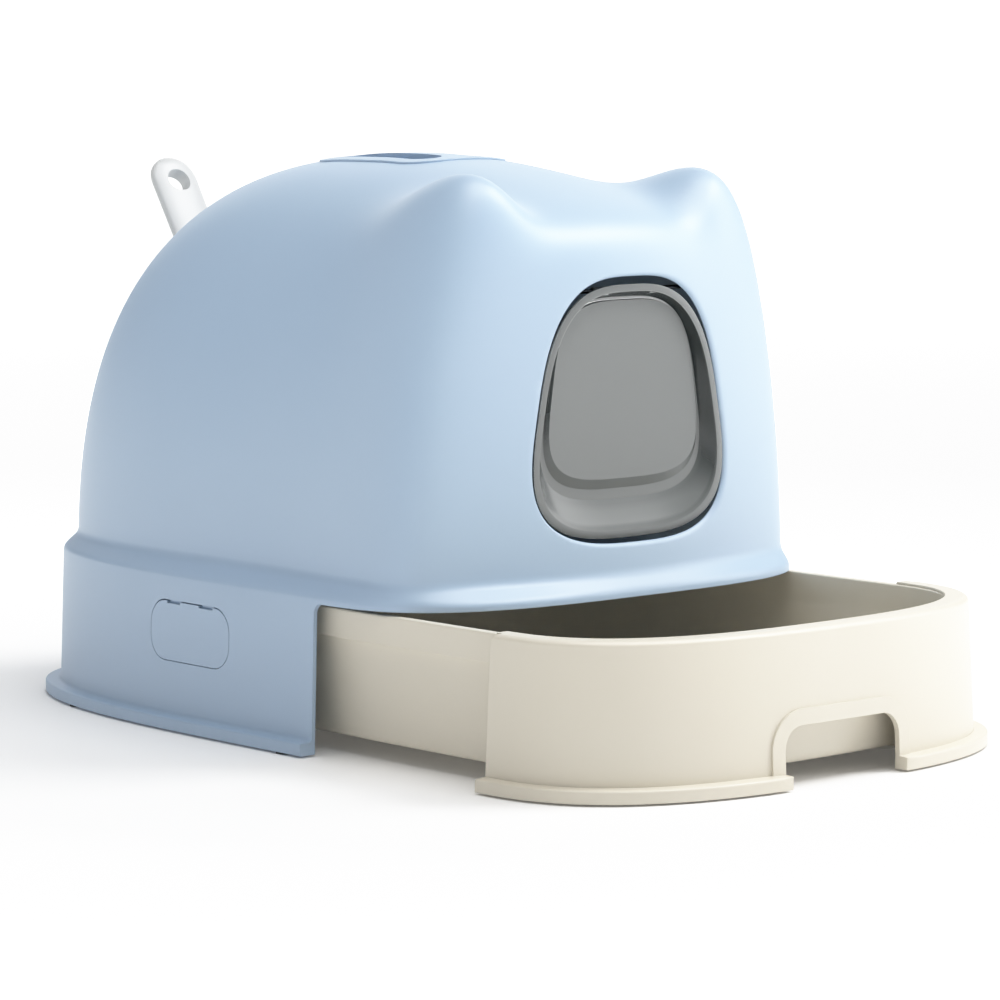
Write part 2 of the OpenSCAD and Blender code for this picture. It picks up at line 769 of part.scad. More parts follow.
module front_wall_rings(out)
    ring_stack([
        front_ring(front_wall_in - out, foot),
        front_ring(front_wall_in - out, flange_h),
        front_ring(front_wall_top - 0.2 - out, tray_h - 2.5),
        front_ring(front_wall_top + 0.6 - out, tray_h),
        front_ring(front_wall_top + 3, front_top - 0.2),
        front_ring(front_wall_top + 5, front_top)]);

module drawer_front() drawer_placed() color("#E9E4D8") {
    difference() {
        union() {
            front_wall_rings(0);
            difference() {
                ring_stack([
                    front_ring(0, foot),
                    front_ring(0, flange_h - 1.5),
                    front_ring(1.5, flange_h),
                    front_ring(front_wall_in + 2, flange_h + 0.8)]);
                hand_arch(hand_rim, hand_rim);
            }
            intersection() {
                front_wall_rings(hand_proud);
                hand_arch(hand_rim, hand_rim);
            }
        }
        ring_stack([
            front_ring(front_wall_in + tray_wall, 0),
            front_ring(front_wall_in + tray_wall, flange_h),
            front_ring(front_wall_top + tray_wall, tray_h + seat_gap)]);
        ring_stack([
            front_ring(front_wall_top + front_rim_w + 0.5, tray_h - 3),
            front_ring(front_wall_top + front_rim_w + 0.5, front_top - 0.6),
            front_ring(front_wall_top + front_rim_w - 0.4, front_top + 1)]);
        hand_arch(0, 0);
        translate([-far_off / 2, front_back_y, -1]) cube([far_off, far_off, far_off / 3]);
        both_sides() wall_corner();
    }
    // ends of the wall, clipped to the ears of the pan
    both_sides() difference() {
        intersection() {
            front_wall_rings(-0.5);
            hull() {
                translate([tray_w + band_w + fit_gap, front_back_y - tray_wall, foot])
                    cube([40, tray_wall, tray_h - foot]);
                translate([tray_w + band_w + 6, front_back_y - tray_wall - 1, foot])
                    cube([40, 1, tray_h - foot]);
            }
        }
        clip_holes();
        wall_corner();
        translate([0, front_back_y - tray_wall - far_off / 10 - seat_gap, 0])
            cube([ear_plate_x + fit_gap, far_off / 10, far_off / 4]);
    }
    // ribs behind the wall
    for (a = [210, 232, 248, 292, 308, 330]) intersection() {
        front_wall_rings(-0.5);
        difference() {
            hull() {
                translate(plan_point(a, 40, front_w - front_wall_top - 6, 60,
                    front_reach - front_wall_top - 6, 30, drawer_round, 0))
                    cylinder(d = 2, h = tray_h - 39.5, $fn = 12);
                translate(plan_point(a, 40, front_w, 60, front_reach, 30, drawer_round, 0))
                    cylinder(d = 2, h = tray_h - 39.5, $fn = 12);
            }
            ring_stack([tray_ring(band_w + fit_gap, 0), tray_ring(band_w + fit_gap, tray_h + 3)]);
        }
    }
}

// push-in clips, put in from behind
module front_clips() drawer_placed() color("#F2F2EE")
    both_sides() for (z = clip_zs) translate([clip_x, front_back_y, z]) rotate([90, 0, 0]) {
        translate([0, 0, -clip_head_t]) cylinder(d = clip_head_d, h = clip_head_t, $fn = 24);
        cylinder(d = clip_d, h = 2 * tray_wall + 2.4, $fn = 24);
        translate([0, 0, 2 * tray_wall + 2 * seat_gap])
            cylinder(d1 = clip_d + 1.2, d2 = clip_d - 0.8, h = 2.6, $fn = 24);
    }

// ---------------------------------------------------------------- side latches

module side_latch() {
    hook_reach = latch_x - latch_in - latch_t - (tray_w + tray_wall + hook_clear)
        * pow(1 - pow(latch_y / (tray_l + tray_wall), tray_round), 1 / tray_round);
    hook_z = tray_h - band_h - fit_gap - hook_t - latch_z;
    latch_frame() difference() {
        union() {
            latch_outline(0, -latch_t, 0);
            hull() {
                translate([-latch_t - hook_reach, -hook_w / 2, hook_z + 0.4])
                    cube([hook_reach + 1, hook_w, hook_t - 0.8]);
                translate([-latch_t - 0.5, -hook_w / 2, hook_z - 8]) cube([1, hook_w, hook_t + 7]);
            }
            for (s = [-1, 1])
                translate([-latch_t - latch_back, s * latch_pin_y - latch_pin_len / 2 - 1,
                    latch_axis_z - latch_pin_d - latch_back])
                    cube([latch_back + 0.5, latch_pin_len + 2,
                        latch_pin_d + latch_back + latch_axis_drop]);
        }
        for (s = [-1, 1]) translate([0, s * latch_pin_y, 0]) {
            room = latch_lug_r + latch_lug_play;
            latch_pin_bar(latch_pin_d + 2 * run_gap, latch_pin_len + 2);
            translate([-latch_t - latch_back - 1, -slit_len / 2, latch_axis_z - room])
                cube([latch_t + latch_back + 1 - latch_skin, slit_len, room + latch_h]);
            translate([-latch_t - 1, -slit_len / 2, latch_h / 2 - slit_deep])
                cube([latch_t + 2, slit_len, slit_deep + 1]);
        }
    }
}
module side_latch_left() placed() color("#BFD6EA") side_latch();
module side_latch_right() placed() color("#BFD6EA") mirror([1, 0, 0]) side_latch();

module latch_pins() placed() color("#C4C8CC")
    both_sides() for (s = [-1, 1])
        latch_frame() translate([0, s * latch_pin_y, 0]) latch_pin_bar(latch_pin_d, latch_pin_len);

// ---------------------------------------------------------------- scoop

module scoop() placed() color("#F3F3F1") scoop_frame() difference() {
    union() {
        // handle
        hull() {
            translate([0, 0, handle_len - handle_w / 2]) rotate([90, 0, 0])
                cylinder(d = handle_w, h = handle_t - 2 * edge_soft, center = true, $fn = 48);
            translate([0, 0, handle_len - handle_w / 2]) rotate([90, 0, 0])
                cylinder(d = handle_w - 2 * edge_soft, h = handle_t, center = true, $fn = 48);
            translate([0, 0, -4]) cube([handle_w - 5, handle_t, 2], center = true);
            translate([0, 0, -4]) cube([handle_w - 2, handle_t - 2 * edge_soft, 2], center = true);
        }
        // shoulders
        hull() {
            translate([0, 0, 1]) cube([handle_w - 6, handle_t, 2], center = true);
            translate([0, 0, blade_top - 10]) cube([blade_w - 14, handle_t + 6, 2], center = true);
        }
        // blade, open towards the front
        difference() {
            blade_block(0, blade_top, -blade_len);
            translate([0, -blade_wall - 2, 0])
                blade_block(-blade_wall, blade_top - blade_wall, -blade_len - 5);
        }
    }
    // sifting slots through the back of the blade
    for (x = [-30, -20, -10, 0, 10, 20, 30]) hull() {
        translate([x, 0, blade_top - 34]) rotate([-90, 0, 0]) cylinder(d = 4.6, h = 30, $fn = 16);
        translate([x, 0, -blade_len + 16]) rotate([-90, 0, 0]) cylinder(d = 4.6, h = 30, $fn = 16);
    }
    // hanging hole
    hull() for (s = [-1, 1]) translate([s * 1, 0, hole_at]) rotate([90, 0, 0])
        cylinder(d = hole_w - 1, h = 40, center = true, $fn = 32);
}

module blade_block(grow, z1, z0) {
    hull() for (sx = [-1, 1]) for (sy = [-1, 1])
        translate([sx * (blade_w / 2 + grow - blade_corner), sy * (blade_deep / 2 + grow - blade_corner), z0])
            cylinder(r = blade_corner, h = z1 - z0, $fn = round_fn);
}

// collar on the hood and closed pocket under it
module scoop_holder() placed() color("#BFD6EA") {
    difference() {
        union() {
            intersection() {
                hood_body();
                scoop_frame() scoop_slot(holder_wall, -holder_deep, 60);
            }
            intersection() {
                difference() {
                    ring_stack(dome_rings(collar_t), dome_pole(collar_t));
                    ring_stack(dome_rings(seat_gap), dome_pole(seat_gap));
                }
                scoop_frame() union() {
                    scoop_slot(collar_out, -60, 60);
                    hull() for (s = [-1, 1])
                        translate([s * (holder_screw_x - 1), 0, -60])
                            cylinder(d = collar_ear, h = 120, $fn = round_fn);
                }
            }
            intersection() {
                ring_stack(dome_rings(collar_t), dome_pole(collar_t));
                scoop_frame() scoop_slot(holder_wall, -20, 60);
            }
        }
        scoop_frame() scoop_slot(0, holder_wall - holder_deep, 61);
        both_sides() holder_screw_bar(screw_d + 2 * seat_gap);
        // drain slots
        scoop_frame() for (x = [-24, -12, 0, 12, 24]) translate([x, 0, 0])
            slot_bar(2, 7, -holder_deep - 1, -holder_deep + 5);
    }
    // ribs that the blade stands between
    scoop_frame() translate([0, 0, 1 - holder_deep]) {
        rib_h = holder_rib_top + holder_deep - 1;
        for (s = [-1, 1]) {
            translate([s * (slot_half + slot_r + blade_w / 2 + fit_gap + 1) / 2, 0, rib_h / 2])
                cube([slot_half + slot_r + 1 - blade_w / 2 - fit_gap, holder_rib_w, rib_h],
                    center = true);
            for (x = [-holder_rib_x, holder_rib_x])
                translate([x, s * (slot_r + blade_deep / 2 + fit_gap + 1) / 2, rib_h / 2])
                    cube([holder_rib_w, slot_r + 1 - blade_deep / 2 - fit_gap, rib_h],
                        center = true);
        }
    }
}

module holder_screws() placed() color("#C4C8CC")
    both_sides() holder_screw_place() translate([0, 0, collar_t]) screw(holder_screw_len);

hood_shell();
carry_handle();
door_panel();
door_rod();
rod_caps();
hinge_bracket_left();
hinge_bracket_right();
bracket_screws();
litter_tray();
tray_glides();
drawer_front();
front_clips();
side_latch_left();
side_latch_right();
latch_pins();
scoop();
scoop_holder();
holder_screws();
anti_slip_feet();
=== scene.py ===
"""Drawer litter box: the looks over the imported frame. Lengths are millimetres until a piece is finished.

The hood stands still. The drawer, the flap door, the two side latches and the scoop ride on their own bodies.
"""

import math

import bmesh
import bpy
import numpy as np
from mathutils import Matrix, Vector


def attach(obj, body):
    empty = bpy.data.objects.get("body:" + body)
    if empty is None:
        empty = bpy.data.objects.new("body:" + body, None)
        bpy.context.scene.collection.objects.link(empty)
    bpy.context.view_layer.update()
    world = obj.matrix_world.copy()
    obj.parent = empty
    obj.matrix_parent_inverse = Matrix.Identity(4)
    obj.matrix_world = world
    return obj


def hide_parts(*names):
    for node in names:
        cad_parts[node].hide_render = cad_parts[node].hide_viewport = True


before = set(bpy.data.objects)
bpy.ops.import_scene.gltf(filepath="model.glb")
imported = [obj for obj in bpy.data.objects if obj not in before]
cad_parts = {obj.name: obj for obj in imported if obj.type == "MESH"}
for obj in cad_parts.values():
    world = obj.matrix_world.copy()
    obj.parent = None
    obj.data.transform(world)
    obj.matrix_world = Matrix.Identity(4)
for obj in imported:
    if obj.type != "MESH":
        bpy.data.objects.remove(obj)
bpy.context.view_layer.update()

# ---------------------------------------------------------------- sizes, in millimetres
# y = 0 is the line where the hood's skirt ends and the drawer front begins.
# A _ROUND is the power of a superellipse: 2 is an ellipse, and a higher one is squarer.

# gaps between pieces
FIT = 0.3                               # beside a piece that slides or is put in
SEAT = 0.1                              # round a piece that is held
RUN = 0.05                              # round a piece that turns
FOOT = 1.5                              # below the flanges, which stand on pads

# hood: skirt, foot flange and ledge
HOOD_W = 422                            # across the flange
HOOD_H = 401
SKIRT_LEN = 408
LIP_REACH = 119.5                       # of the ledge, out over the drawer
WALL = 3
LIP_Z = 104.8                           # top of the skirt
LEDGE_Z = 120                           # foot of the dome
LEDGE_W, LEDGE_BACK_W, LEDGE_FRONT_W = 18.5, 11.5, 7.5
FLANGE_OUT, FLANGE_H = 10, 10
SKIRT_DRAFT = 2.5                       # how far the skirt leans in from the flange to its top
BACK_ROUND, FRONT_ROUND = 3.7, 3.2
TOP_INSET = FLANGE_OUT + SKIRT_DRAFT
LIP_LEN = LIP_REACH + TOP_INSET

# hood: dome, front face and ears
SPRING_Z = LEDGE_Z - 28                 # the dome is upright below this
MID = SKIRT_LEN * 0.28                  # behind this line the dome narrows; before it the roof falls
DOME_W = HOOD_W / 2 - TOP_INSET - LEDGE_W
DOME_L = SKIRT_LEN - TOP_INSET - LEDGE_BACK_W - MID
PLAN_ROUND, PROFILE_ROUND, BROW_ROUND = 3.52, 2.52, 12
BROW_DROP = 47                          # fall of the roof from the crown to the front
FRONT_Y = -(LIP_REACH - LEDGE_FRONT_W)
FRONT_LEAN = 0.025                      # of the front face: millimetres back to a millimetre up
FRONT_BOW = 0.001                       # of the front face: back to a millimetre aside, squared
EAR_X, EAR_SET, EAR_DROP = 109, 52, 8.7     # aside, behind the front face, below the crown
EAR_W, EAR_L, EAR_H = 62.5, 135, 256    # half axes
FRONT_BLEND, EAR_BLEND = 10, 10.2       # how softly each runs into the dome

# flap door: half widths and half heights, with the heights of their middles
DOOR_W, DOOR_H, DOOR_Z = 88, 91, 232    # opening
PANEL_W, PANEL_H, PANEL_Z = DOOR_W - 3, DOOR_H - 4, DOOR_Z - 1.5
DOOR_T, DOOR_TAPER, EGG_ROUND = 2.2, 0.19, 3.07
DOOR_SNUG = 2                           # how much closer the opening stands at each side
DOOR_ROLL, ROLL_ASIDE = 3.2, 2          # radius of its rolled edge, and how far that leans to +x
DISH_W, DISH_H, DISH_Z = PANEL_W - 18.5, PANEL_H - 26.5, PANEL_Z + 15
DISH_TAPER, DISH_ROUND = 0.13, 3.7
DISH_DEEP = 9.5
DISH_CROWN = 3.2                        # how far the dish's middle stands out of its gutter

# the rod that the flap hangs on, and the hood's bosses for its brackets
ROD_D, ROD_BACK = 3, 6.4
ROD_Z = PANEL_Z + PANEL_H - 4
FACE_AT_ROD = FRONT_Y + FRONT_LEAN * (ROD_Z - LEDGE_Z)
PANEL_Y = FACE_AT_ROD + 6
ROD_Y = PANEL_Y + ROD_BACK
LUG_X0, LUG_X1 = 20, 30                 # the flap's lugs on the rod
BRACKET_X = DOME_W - 118
BRACKET_SCREW_X = 6.5                   # of a screw, from the middle of its bracket
BRACKET_SCREW_D, BRACKET_SCREW_LEN = 3.3, 11.1
BOSS_Y, BOSS_Z, BOSS_HALF = ROD_Y + 3.2, ROD_Z + 6, 11

# drawer: the pan with its rim band, and the lugs that run on the hood's guides
PULL_OUT = 179                          # from shut to the rest pose
FRONT_REACH = 134.5                     # of the drawer front
WALL_IN, WALL_TOP = 9, 13.5             # setback of the front's wall, at its foot and its top
TRAY_H, TRAY_WALL = 102, 2.5
TRAY_LIFT, TRAY_LEAN = 12, 7            # its floor off the ground, and its walls in from rim to floor
BAND_W, BAND_H = 7, 20
TRAY_ROUND, DRAWER_ROUND = 4, 2.66
INNER_W = HOOD_W / 2 - TOP_INSET - WALL
INNER_L = SKIRT_LEN - TOP_INSET - WALL
TRAY_W = INNER_W - 6 - BAND_W
TRAY_L = INNER_L - 12.5 - BAND_W
TRAY_F = FRONT_REACH - WALL_TOP - TRAY_WALL - 1 - BAND_W
SKID_X = 118
GUIDE_X, GUIDE_Z, GUIDE_H, GUIDE_LEN = TRAY_W + TRAY_WALL, 54, 8, 30
GUIDE_Y0, LUG_Y = 28, 222

# drawer front, its hand hole, and what joins it to the pan
FRONT_W, FRONT_TOP, FRONT_BACK = HOOD_W / 2 + 2.3, TRAY_H + 1.8, -1
RIM_W = 14.8
HAND_W, HAND_H, HAND_CORNER = 54, 41, 16    # half width, height and corner
HAND_RIM, HAND_PROUD = 11, 1.5          # raised border
EAR_PLATE_X = TRAY_W + BAND_W + 6
CLIP_X, CLIP_D, CLIP_ZS = TRAY_W + BAND_W + 2.3, 3, (36, 68)

# side latches: a plate, its pins near the upper edge, and slits there for the hood's lugs
LATCH_LEN, LATCH_H, LATCH_CORNER = 92, 42, 17
LATCH_Y, LATCH_Z = 138, 69.5
LATCH_SUNK = 0.3                        # of the plate's middle, behind the curve of the skirt
LATCH_GAP, LATCH_SEAM = 0.8, 0.45       # above the plate, where it turns, and round the rest of it
PIN_Y, PIN_D, PIN_LEN, PIN_DROP, PIN_BACK = 19, 1.4, 24, 2.2, 2.2
PIN_Z = LATCH_H / 2 - PIN_DROP
SLIT_LEN, SLIT_DEEP = 16, 1.6
PLATE_SKIN, PLATE_BACK = 0.7, 1.2
LUG_R, LUG_PLAY, HOOK_CLEAR = 1.3, 0.4, 1.6

# scoop and its pocket
LEAN = 32                               # degrees back from upright
SCOOP_Y, SCOOP_Z = MID + DOME_L - 35, 281
HANDLE_LEN, HANDLE_W, HANDLE_T = 128, 37, 10
FULL_W, FULL_T, FULL_END = 2.4, 1, 2.3  # how much fuller the handle is: each side, each face, the end
BLADE_W, BLADE_LEN, BLADE_DEEP, BLADE_CORNER = 92, 112, 22, 10
SLOT_R = BLADE_DEEP / 2 + 5
SLOT_HALF = BLADE_W / 2 + 3 - SLOT_R
HOLDER_WALL = 2
HOLDER_DEEP = BLADE_LEN + FIT + HOLDER_WALL
HOLDER_SCREW_X = SLOT_HALF + SLOT_R + HOLDER_WALL + 6
HOLDER_SCREW_R = 1.85
COLLAR_PROUD = 1.8

# carry handle: two finger pockets and the bar between them
GRIP_Y, POCKET_LEN, POCKET_W, POCKET_DEEP, BAR_W = 127, 105, 27, 22, 21
GRIP_EDGE, GRIP_STEP, GRIP_PROUD, GRIP_FLOOR = 10, 4, 1.3, 2.4
GRIP_W = BAR_W / 2 + POCKET_W + GRIP_EDGE
GRIP_Z = HOOD_H - POCKET_DEEP - GRIP_FLOOR - 4

# the middle of the part in its rest pose, from the scoop's tip to the feet of the hand hole
TIP_Y = (SCOOP_Y + (HANDLE_LEN - 1.5) * math.sin(math.radians(LEAN))
         + HANDLE_T / 2 * math.cos(math.radians(LEAN)))
HAND_EDGE = (HAND_W + HAND_RIM) / FRONT_W
NOSE_Y = -FRONT_REACH * (1 - HAND_EDGE ** DRAWER_ROUND) ** (1 / DRAWER_ROUND)
CENTRE_Y = (TIP_Y - PULL_OUT + NOSE_Y) / 2

FAR = 600                               # beyond everything
AROUND = 240                            # points round the hood, the pan and the drawer front
DOOR_POINTS = 160                       # points round the door
HALVINGS = 36                           # steps that find an edge, each halving what is left of FAR
CORNER_SHARE = 0.48                     # of a side, at most, is rounded at each of its ends
SHARP_ANGLE = 32                        # degrees, past which an edge is shaded sharp


# ---------------------------------------------------------------- shape functions

def soft_max(a, b, k):
    """The larger of a and b, blended over about k where they are close."""
    return k * np.logaddexp(a / k, b / k)


def round_sum(a, b, p):
    """Level of a superellipse of power p: 1 on its outline."""
    return (a ** p + b ** p) ** (1 / p)


def dome_level(p):
    """The dome with its ears and front face: below 0 inside."""
    x, y, z = np.abs(p[..., 0]), p[..., 1], p[..., 2]
    across = round_sum(x / DOME_W, np.maximum(y - MID, 0) / DOME_L, PLAN_ROUND)
    forward = np.clip((MID - y) / (MID - FRONT_Y), 0, 1.3)
    rise = np.maximum(z - SPRING_Z, 0) / (HOOD_H - SPRING_Z - BROW_DROP * forward ** 2)
    arch = round_sum(across, rise, PROFILE_ROUND)
    dome = (round_sum(arch, np.maximum(MID - y, 0) / DOME_L, BROW_ROUND) - 1) * DOME_W
    ear = (np.sqrt(((x - EAR_X) / EAR_W) ** 2 + ((y - FRONT_Y - EAR_SET) / EAR_L) ** 2
                   + ((z - HOOD_H + EAR_H + EAR_DROP) / EAR_H) ** 2) - 1) * EAR_W
    front = FRONT_Y + FRONT_LEAN * (z - LEDGE_Z) + FRONT_BOW * x ** 2 - y
    return soft_max(-soft_max(-dome, -ear, EAR_BLEND), front, FRONT_BLEND)


def last_inside(level, start, way, far=FAR):
    """How far each ray runs from start before level is no longer below 0."""
    low, high = np.zeros(way.shape[:-1]), np.full(way.shape[:-1], float(far))
    for _ in range(HALVINGS):
        mid = (low + high) / 2
        inside = level(start + way * mid[..., None]) < 0
        low, high = np.where(inside, mid, low), np.where(inside, high, mid)
    return low


def turned():
    """Directions all round, as (x, y)."""
    a = np.arange(AROUND) * 2 * np.pi / AROUND
    return np.stack([np.cos(a), np.sin(a)], 1)


def dome_rings(tilts, grow=0.0):
    """Rings of the dome at these tilts above the ledge, moved out by grow."""
    start = np.array([0, MID, LEDGE_Z])
    rings = []
    for tilt in np.radians(tilts):
        way = np.concatenate([turned() * math.cos(tilt), np.full((AROUND, 1), math.sin(tilt))], 1)
        rings.append(start + way * (last_inside(dome_level, start, way) + grow)[:, None])
    return rings


def dome_pole(grow=0.0):
    """Crown of the dome, moved up by grow."""
    start = np.array([0, MID, LEDGE_Z])
    way = np.array([[0.0, 0.0, 1.0]])
    return (start + way * (last_inside(dome_level, start, way) + grow)[:, None])[0]


def plan_ring(z, w, back, front, back_m, front_m, mid=0.0):
    """Ring at height z on a superellipse that reaches back and front from y = 0, as seen from y = mid."""
    def level(p):
        x, y = np.abs(p[..., 0]) / w, p[..., 1]
        behind = x ** back_m + np.maximum(y / back, 0) ** back_m
        before = x ** front_m + np.maximum(-y / front, 0) ** front_m
        return np.where(y > 0, behind, before) - 1
    way = turned()
    start = np.array([0.0, mid])
    flat = start + way * last_inside(level, start, way)[:, None]
    return np.concatenate([flat, np.full((AROUND, 1), float(z))], 1)


def skirt_ring(inset, z):
    """Outline of the hood's flange, moved in by inset."""
    return plan_ring(z, HOOD_W / 2 - inset, SKIRT_LEN - inset, LIP_LEN - inset, BACK_ROUND, FRONT_ROUND, MID)


def skirt_wall(t, deeper=0):
    """Ring on the skirt's leaning wall, t of the way down from its top to the flange."""
    return skirt_ring(TOP_INSET - SKIRT_DRAFT * t + deeper, LIP_Z - (LIP_Z - FLANGE_H) * t)


def skirt_x(y, inset):
    """Half width of the skirt's outline at y."""
    return (HOOD_W / 2 - inset) * (1 - (y / (SKIRT_LEN - inset)) ** BACK_ROUND) ** (1 / BACK_ROUND)


def tray_ring(out, z):
    """Outline of the pan at its rim, inside the band, moved out by out."""
    return plan_ring(z, TRAY_W + out, TRAY_L + out, TRAY_F + out, TRAY_ROUND, DRAWER_ROUND)


def front_ring(inset, z):
    """Outline of the drawer front's flange, moved in by inset. It runs straight back, to be cut off there."""
    spare, straight = 60, 30
    return plan_ring(z, FRONT_W - inset, spare, FRONT_REACH - inset, straight, DRAWER_ROUND)


def softened(corners, steps=5):
    """Profile through corners (a, b, radius), each corner rounded by its radius."""
    made = []
    for i, (a, b, r) in enumerate(corners):
        here = np.array([a, b], float)
        if not r or i in (0, len(corners) - 1):
            made.append(here)
            continue
        before, after = (np.array(corners[j][:2], float) for j in (i - 1, i + 1))
        sides = [(q - here, np.linalg.norm(q - here)) for q in (before, after)]
        p0, p2 = (here + way / length * min(r, length * CORNER_SHARE) for way, length in sides)
        for t in np.linspace(0, 1, steps):
            made.append((1 - t) ** 2 * p0 + 2 * t * (1 - t) * here + t ** 2 * p2)
    return made


def eased(before, corner, after, reach):
    """Rings that round the corner ring between two others."""
    def toward(q):
        d = q - corner
        length = np.linalg.norm(d, axis=1, keepdims=True)
        return corner + d / length * np.minimum(reach, length * CORNER_SHARE)
    p0, p2 = toward(before), toward(after)
    return [(1 - t) ** 2 * p0 + 2 * t * (1 - t) * corner + t ** 2 * p2
            for t in np.linspace(0, 1, 6)]


def egg(w, h, taper, zc, power=EGG_ROUND):
    """Outline (x, z) of the door: half width w and half height h about zc, narrower above by taper."""
    a = np.arange(DOOR_POINTS) * 2 * np.pi / DOOR_POINTS
    t = np.sign(np.sin(a)) * np.abs(np.sin(a)) ** (2 / power)
    c = np.sign(np.cos(a)) * np.abs(np.cos(a)) ** (2 / power)
    return np.stack([w * (1 - taper * t) * c, zc + h * t], 1)


# ---------------------------------------------------------------- mesh tools

def new_object(name, data):
    made = bpy.data.objects.new(name, data)
    bpy.context.scene.collection.objects.link(made)
    return made


def mesh_object(name, points, faces):
    mesh = bpy.data.meshes.new(name)
    mesh.from_pydata([tuple(map(float, p)) for p in points], [], faces)
    mesh.validate()
    return new_object(name, mesh)


def turned_skin(name, rings, first=None, last=None):
    """Skin over rings of equal count, from first to last: a point, or a flat end where it is None."""
    n, k = len(rings[0]), len(rings)
    points = [p for ring in rings for p in ring]
    faces = [(j * n + i, (j + 1) * n + i, (j + 1) * n + (i + 1) % n, j * n + (i + 1) % n)
             for j in range(k - 1) for i in range(n)]
    if first is None:
        faces.append(tuple(range(n)))
    else:
        points.append(first)
        faces += [(len(points) - 1, i, (i + 1) % n) for i in range(n)]
    if last is None:
        faces.append(tuple((k - 1) * n + i for i in reversed(range(n))))
    else:
        points.append(last)
        faces += [(len(points) - 1, (k - 1) * n + (i + 1) % n, (k - 1) * n + i) for i in range(n)]
    return mesh_object(name, points, faces)


def hull_of(name, points):
    """Convex solid round points."""
    work = bmesh.new()
    for p in points:
        work.verts.new(tuple(map(float, p)))
    made = bmesh.ops.convex_hull(work, input=work.verts)
    loose = list({v for v in made["geom_interior"] + made["geom_unused"]
                  if isinstance(v, bmesh.types.BMVert)})
    bmesh.ops.delete(work, geom=loose, context="VERTS")
    bmesh.ops.recalc_face_normals(work, faces=work.faces)
    mesh = bpy.data.meshes.new(name)
    work.to_mesh(mesh)
    work.free()
    return new_object(name, mesh)


def box_points(low, high):
    return [(x, y, z) for x in (low[0], high[0]) for y in (low[1], high[1]) for z in (low[2], high[2])]


def disc_points(centre, radius, axis="z", count=32):
    """Points of a circle round an axis."""
    made = []
    for i in range(count):
        c, s = radius * math.cos(2 * math.pi * i / count), radius * math.sin(2 * math.pi * i / count)
        off = {"x": (0, c, s), "y": (c, 0, s), "z": (c, s, 0)}[axis]
        made.append(tuple(np.add(centre, off)))
    return made


def bar(name, radius, start, end, axis="z", count=32):
    return hull_of(name, disc_points(start, radius, axis, count) + disc_points(end, radius, axis, count))


def slot_points(half_w, half_l, z):
    """Points round the two ends of a slot that runs along y."""
    r = min(half_w, half_l)
    return disc_points((0, half_l - r, z), r, "z", 48) + disc_points((0, r - half_l, z), r, "z", 48)


def slot_bar(name, half_w, half_l, z0, z1, at=(0, 0, 0)):
    points = slot_points(half_w, half_l, z0) + slot_points(half_w, half_l, z1)
    return hull_of(name, np.array(points) + np.array(at))


def moved(piece, matrix):
    piece.data.transform(matrix)
    if matrix.determinant() < 0:
        piece.data.flip_normals()
    return piece


def mirrored(piece):
    twin = new_object(piece.name + ".twin", piece.data.copy())
    return moved(twin, Matrix.Scale(-1, 4, (1, 0, 0)))


def joined_by(operation, base, tools):
    """Base cut by, met with or joined to each tool. The tools are used up."""
    for tool in tools:
        step = base.modifiers.new("step", "BOOLEAN")
        step.operation, step.object, step.solver = operation, tool, "MANIFOLD"
    seen = bpy.context.evaluated_depsgraph_get()
    mesh = bpy.data.meshes.new_from_object(base.evaluated_get(seen))
    base.modifiers.clear()
    if not mesh.polygons:
        raise RuntimeError(f"{base.name}: {operation} left nothing")
    base.data = mesh
    for tool in tools:
        bpy.data.objects.remove(tool)
    return base


def cut(base, *tools):
    return joined_by("DIFFERENCE", base, tools)


def meet(base, *tools):
    return joined_by("INTERSECT", base, tools)


def join(base, *tools):
    return joined_by("UNION", base, tools)


def finished(piece, name, material, body, replaced, y=0.0):
    """Ends a piece: metres, row frame, shading, material, body and the nodes it stands for."""
    piece.data.transform(Matrix.Scale(0.001, 4) @ Matrix.Translation((0, y - CENTRE_Y, 0)))
    piece.name = piece.data.name = name
    piece.data.materials.clear()
    piece.data.materials.append(material)
    piece.data.shade_smooth()
    piece.data.set_sharp_from_angle(angle=math.radians(SHARP_ANGLE))
    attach(piece, body)
    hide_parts(*replaced)
    return piece


# ---------------------------------------------------------------- materials

def linear(colour):
    """Linear colour of an sRGB hex value."""
    parts = [int(colour[i:i + 2], 16) / 255 for i in (1, 3, 5)]
    return [c / 12.92 if c <= 0.04045 else ((c + 0.055) / 1.055) ** 2.4 for c in parts] + [1.0]


def add_node(tree, kind, inputs=None, **settings):
    """Adds a node with its settings. An input is a value, or another node's socket to link."""
    node = tree.nodes.new(kind)
    for key, value in settings.items():
        setattr(node, key, value)
    for key, value in (inputs or {}).items():
        if isinstance(value, bpy.types.NodeSocket):
            tree.links.new(value, node.inputs[key])
        else:
            node.inputs[key].default_value = value
    return node


def per_metre(mm):
    """Scale of a pattern whose marks are this many millimetres apart."""
    return 1000 / mm


def new_material(name):
    material = bpy.data.materials.new(name)
    material.use_nodes = True
    material.node_tree.nodes.clear()
    return material


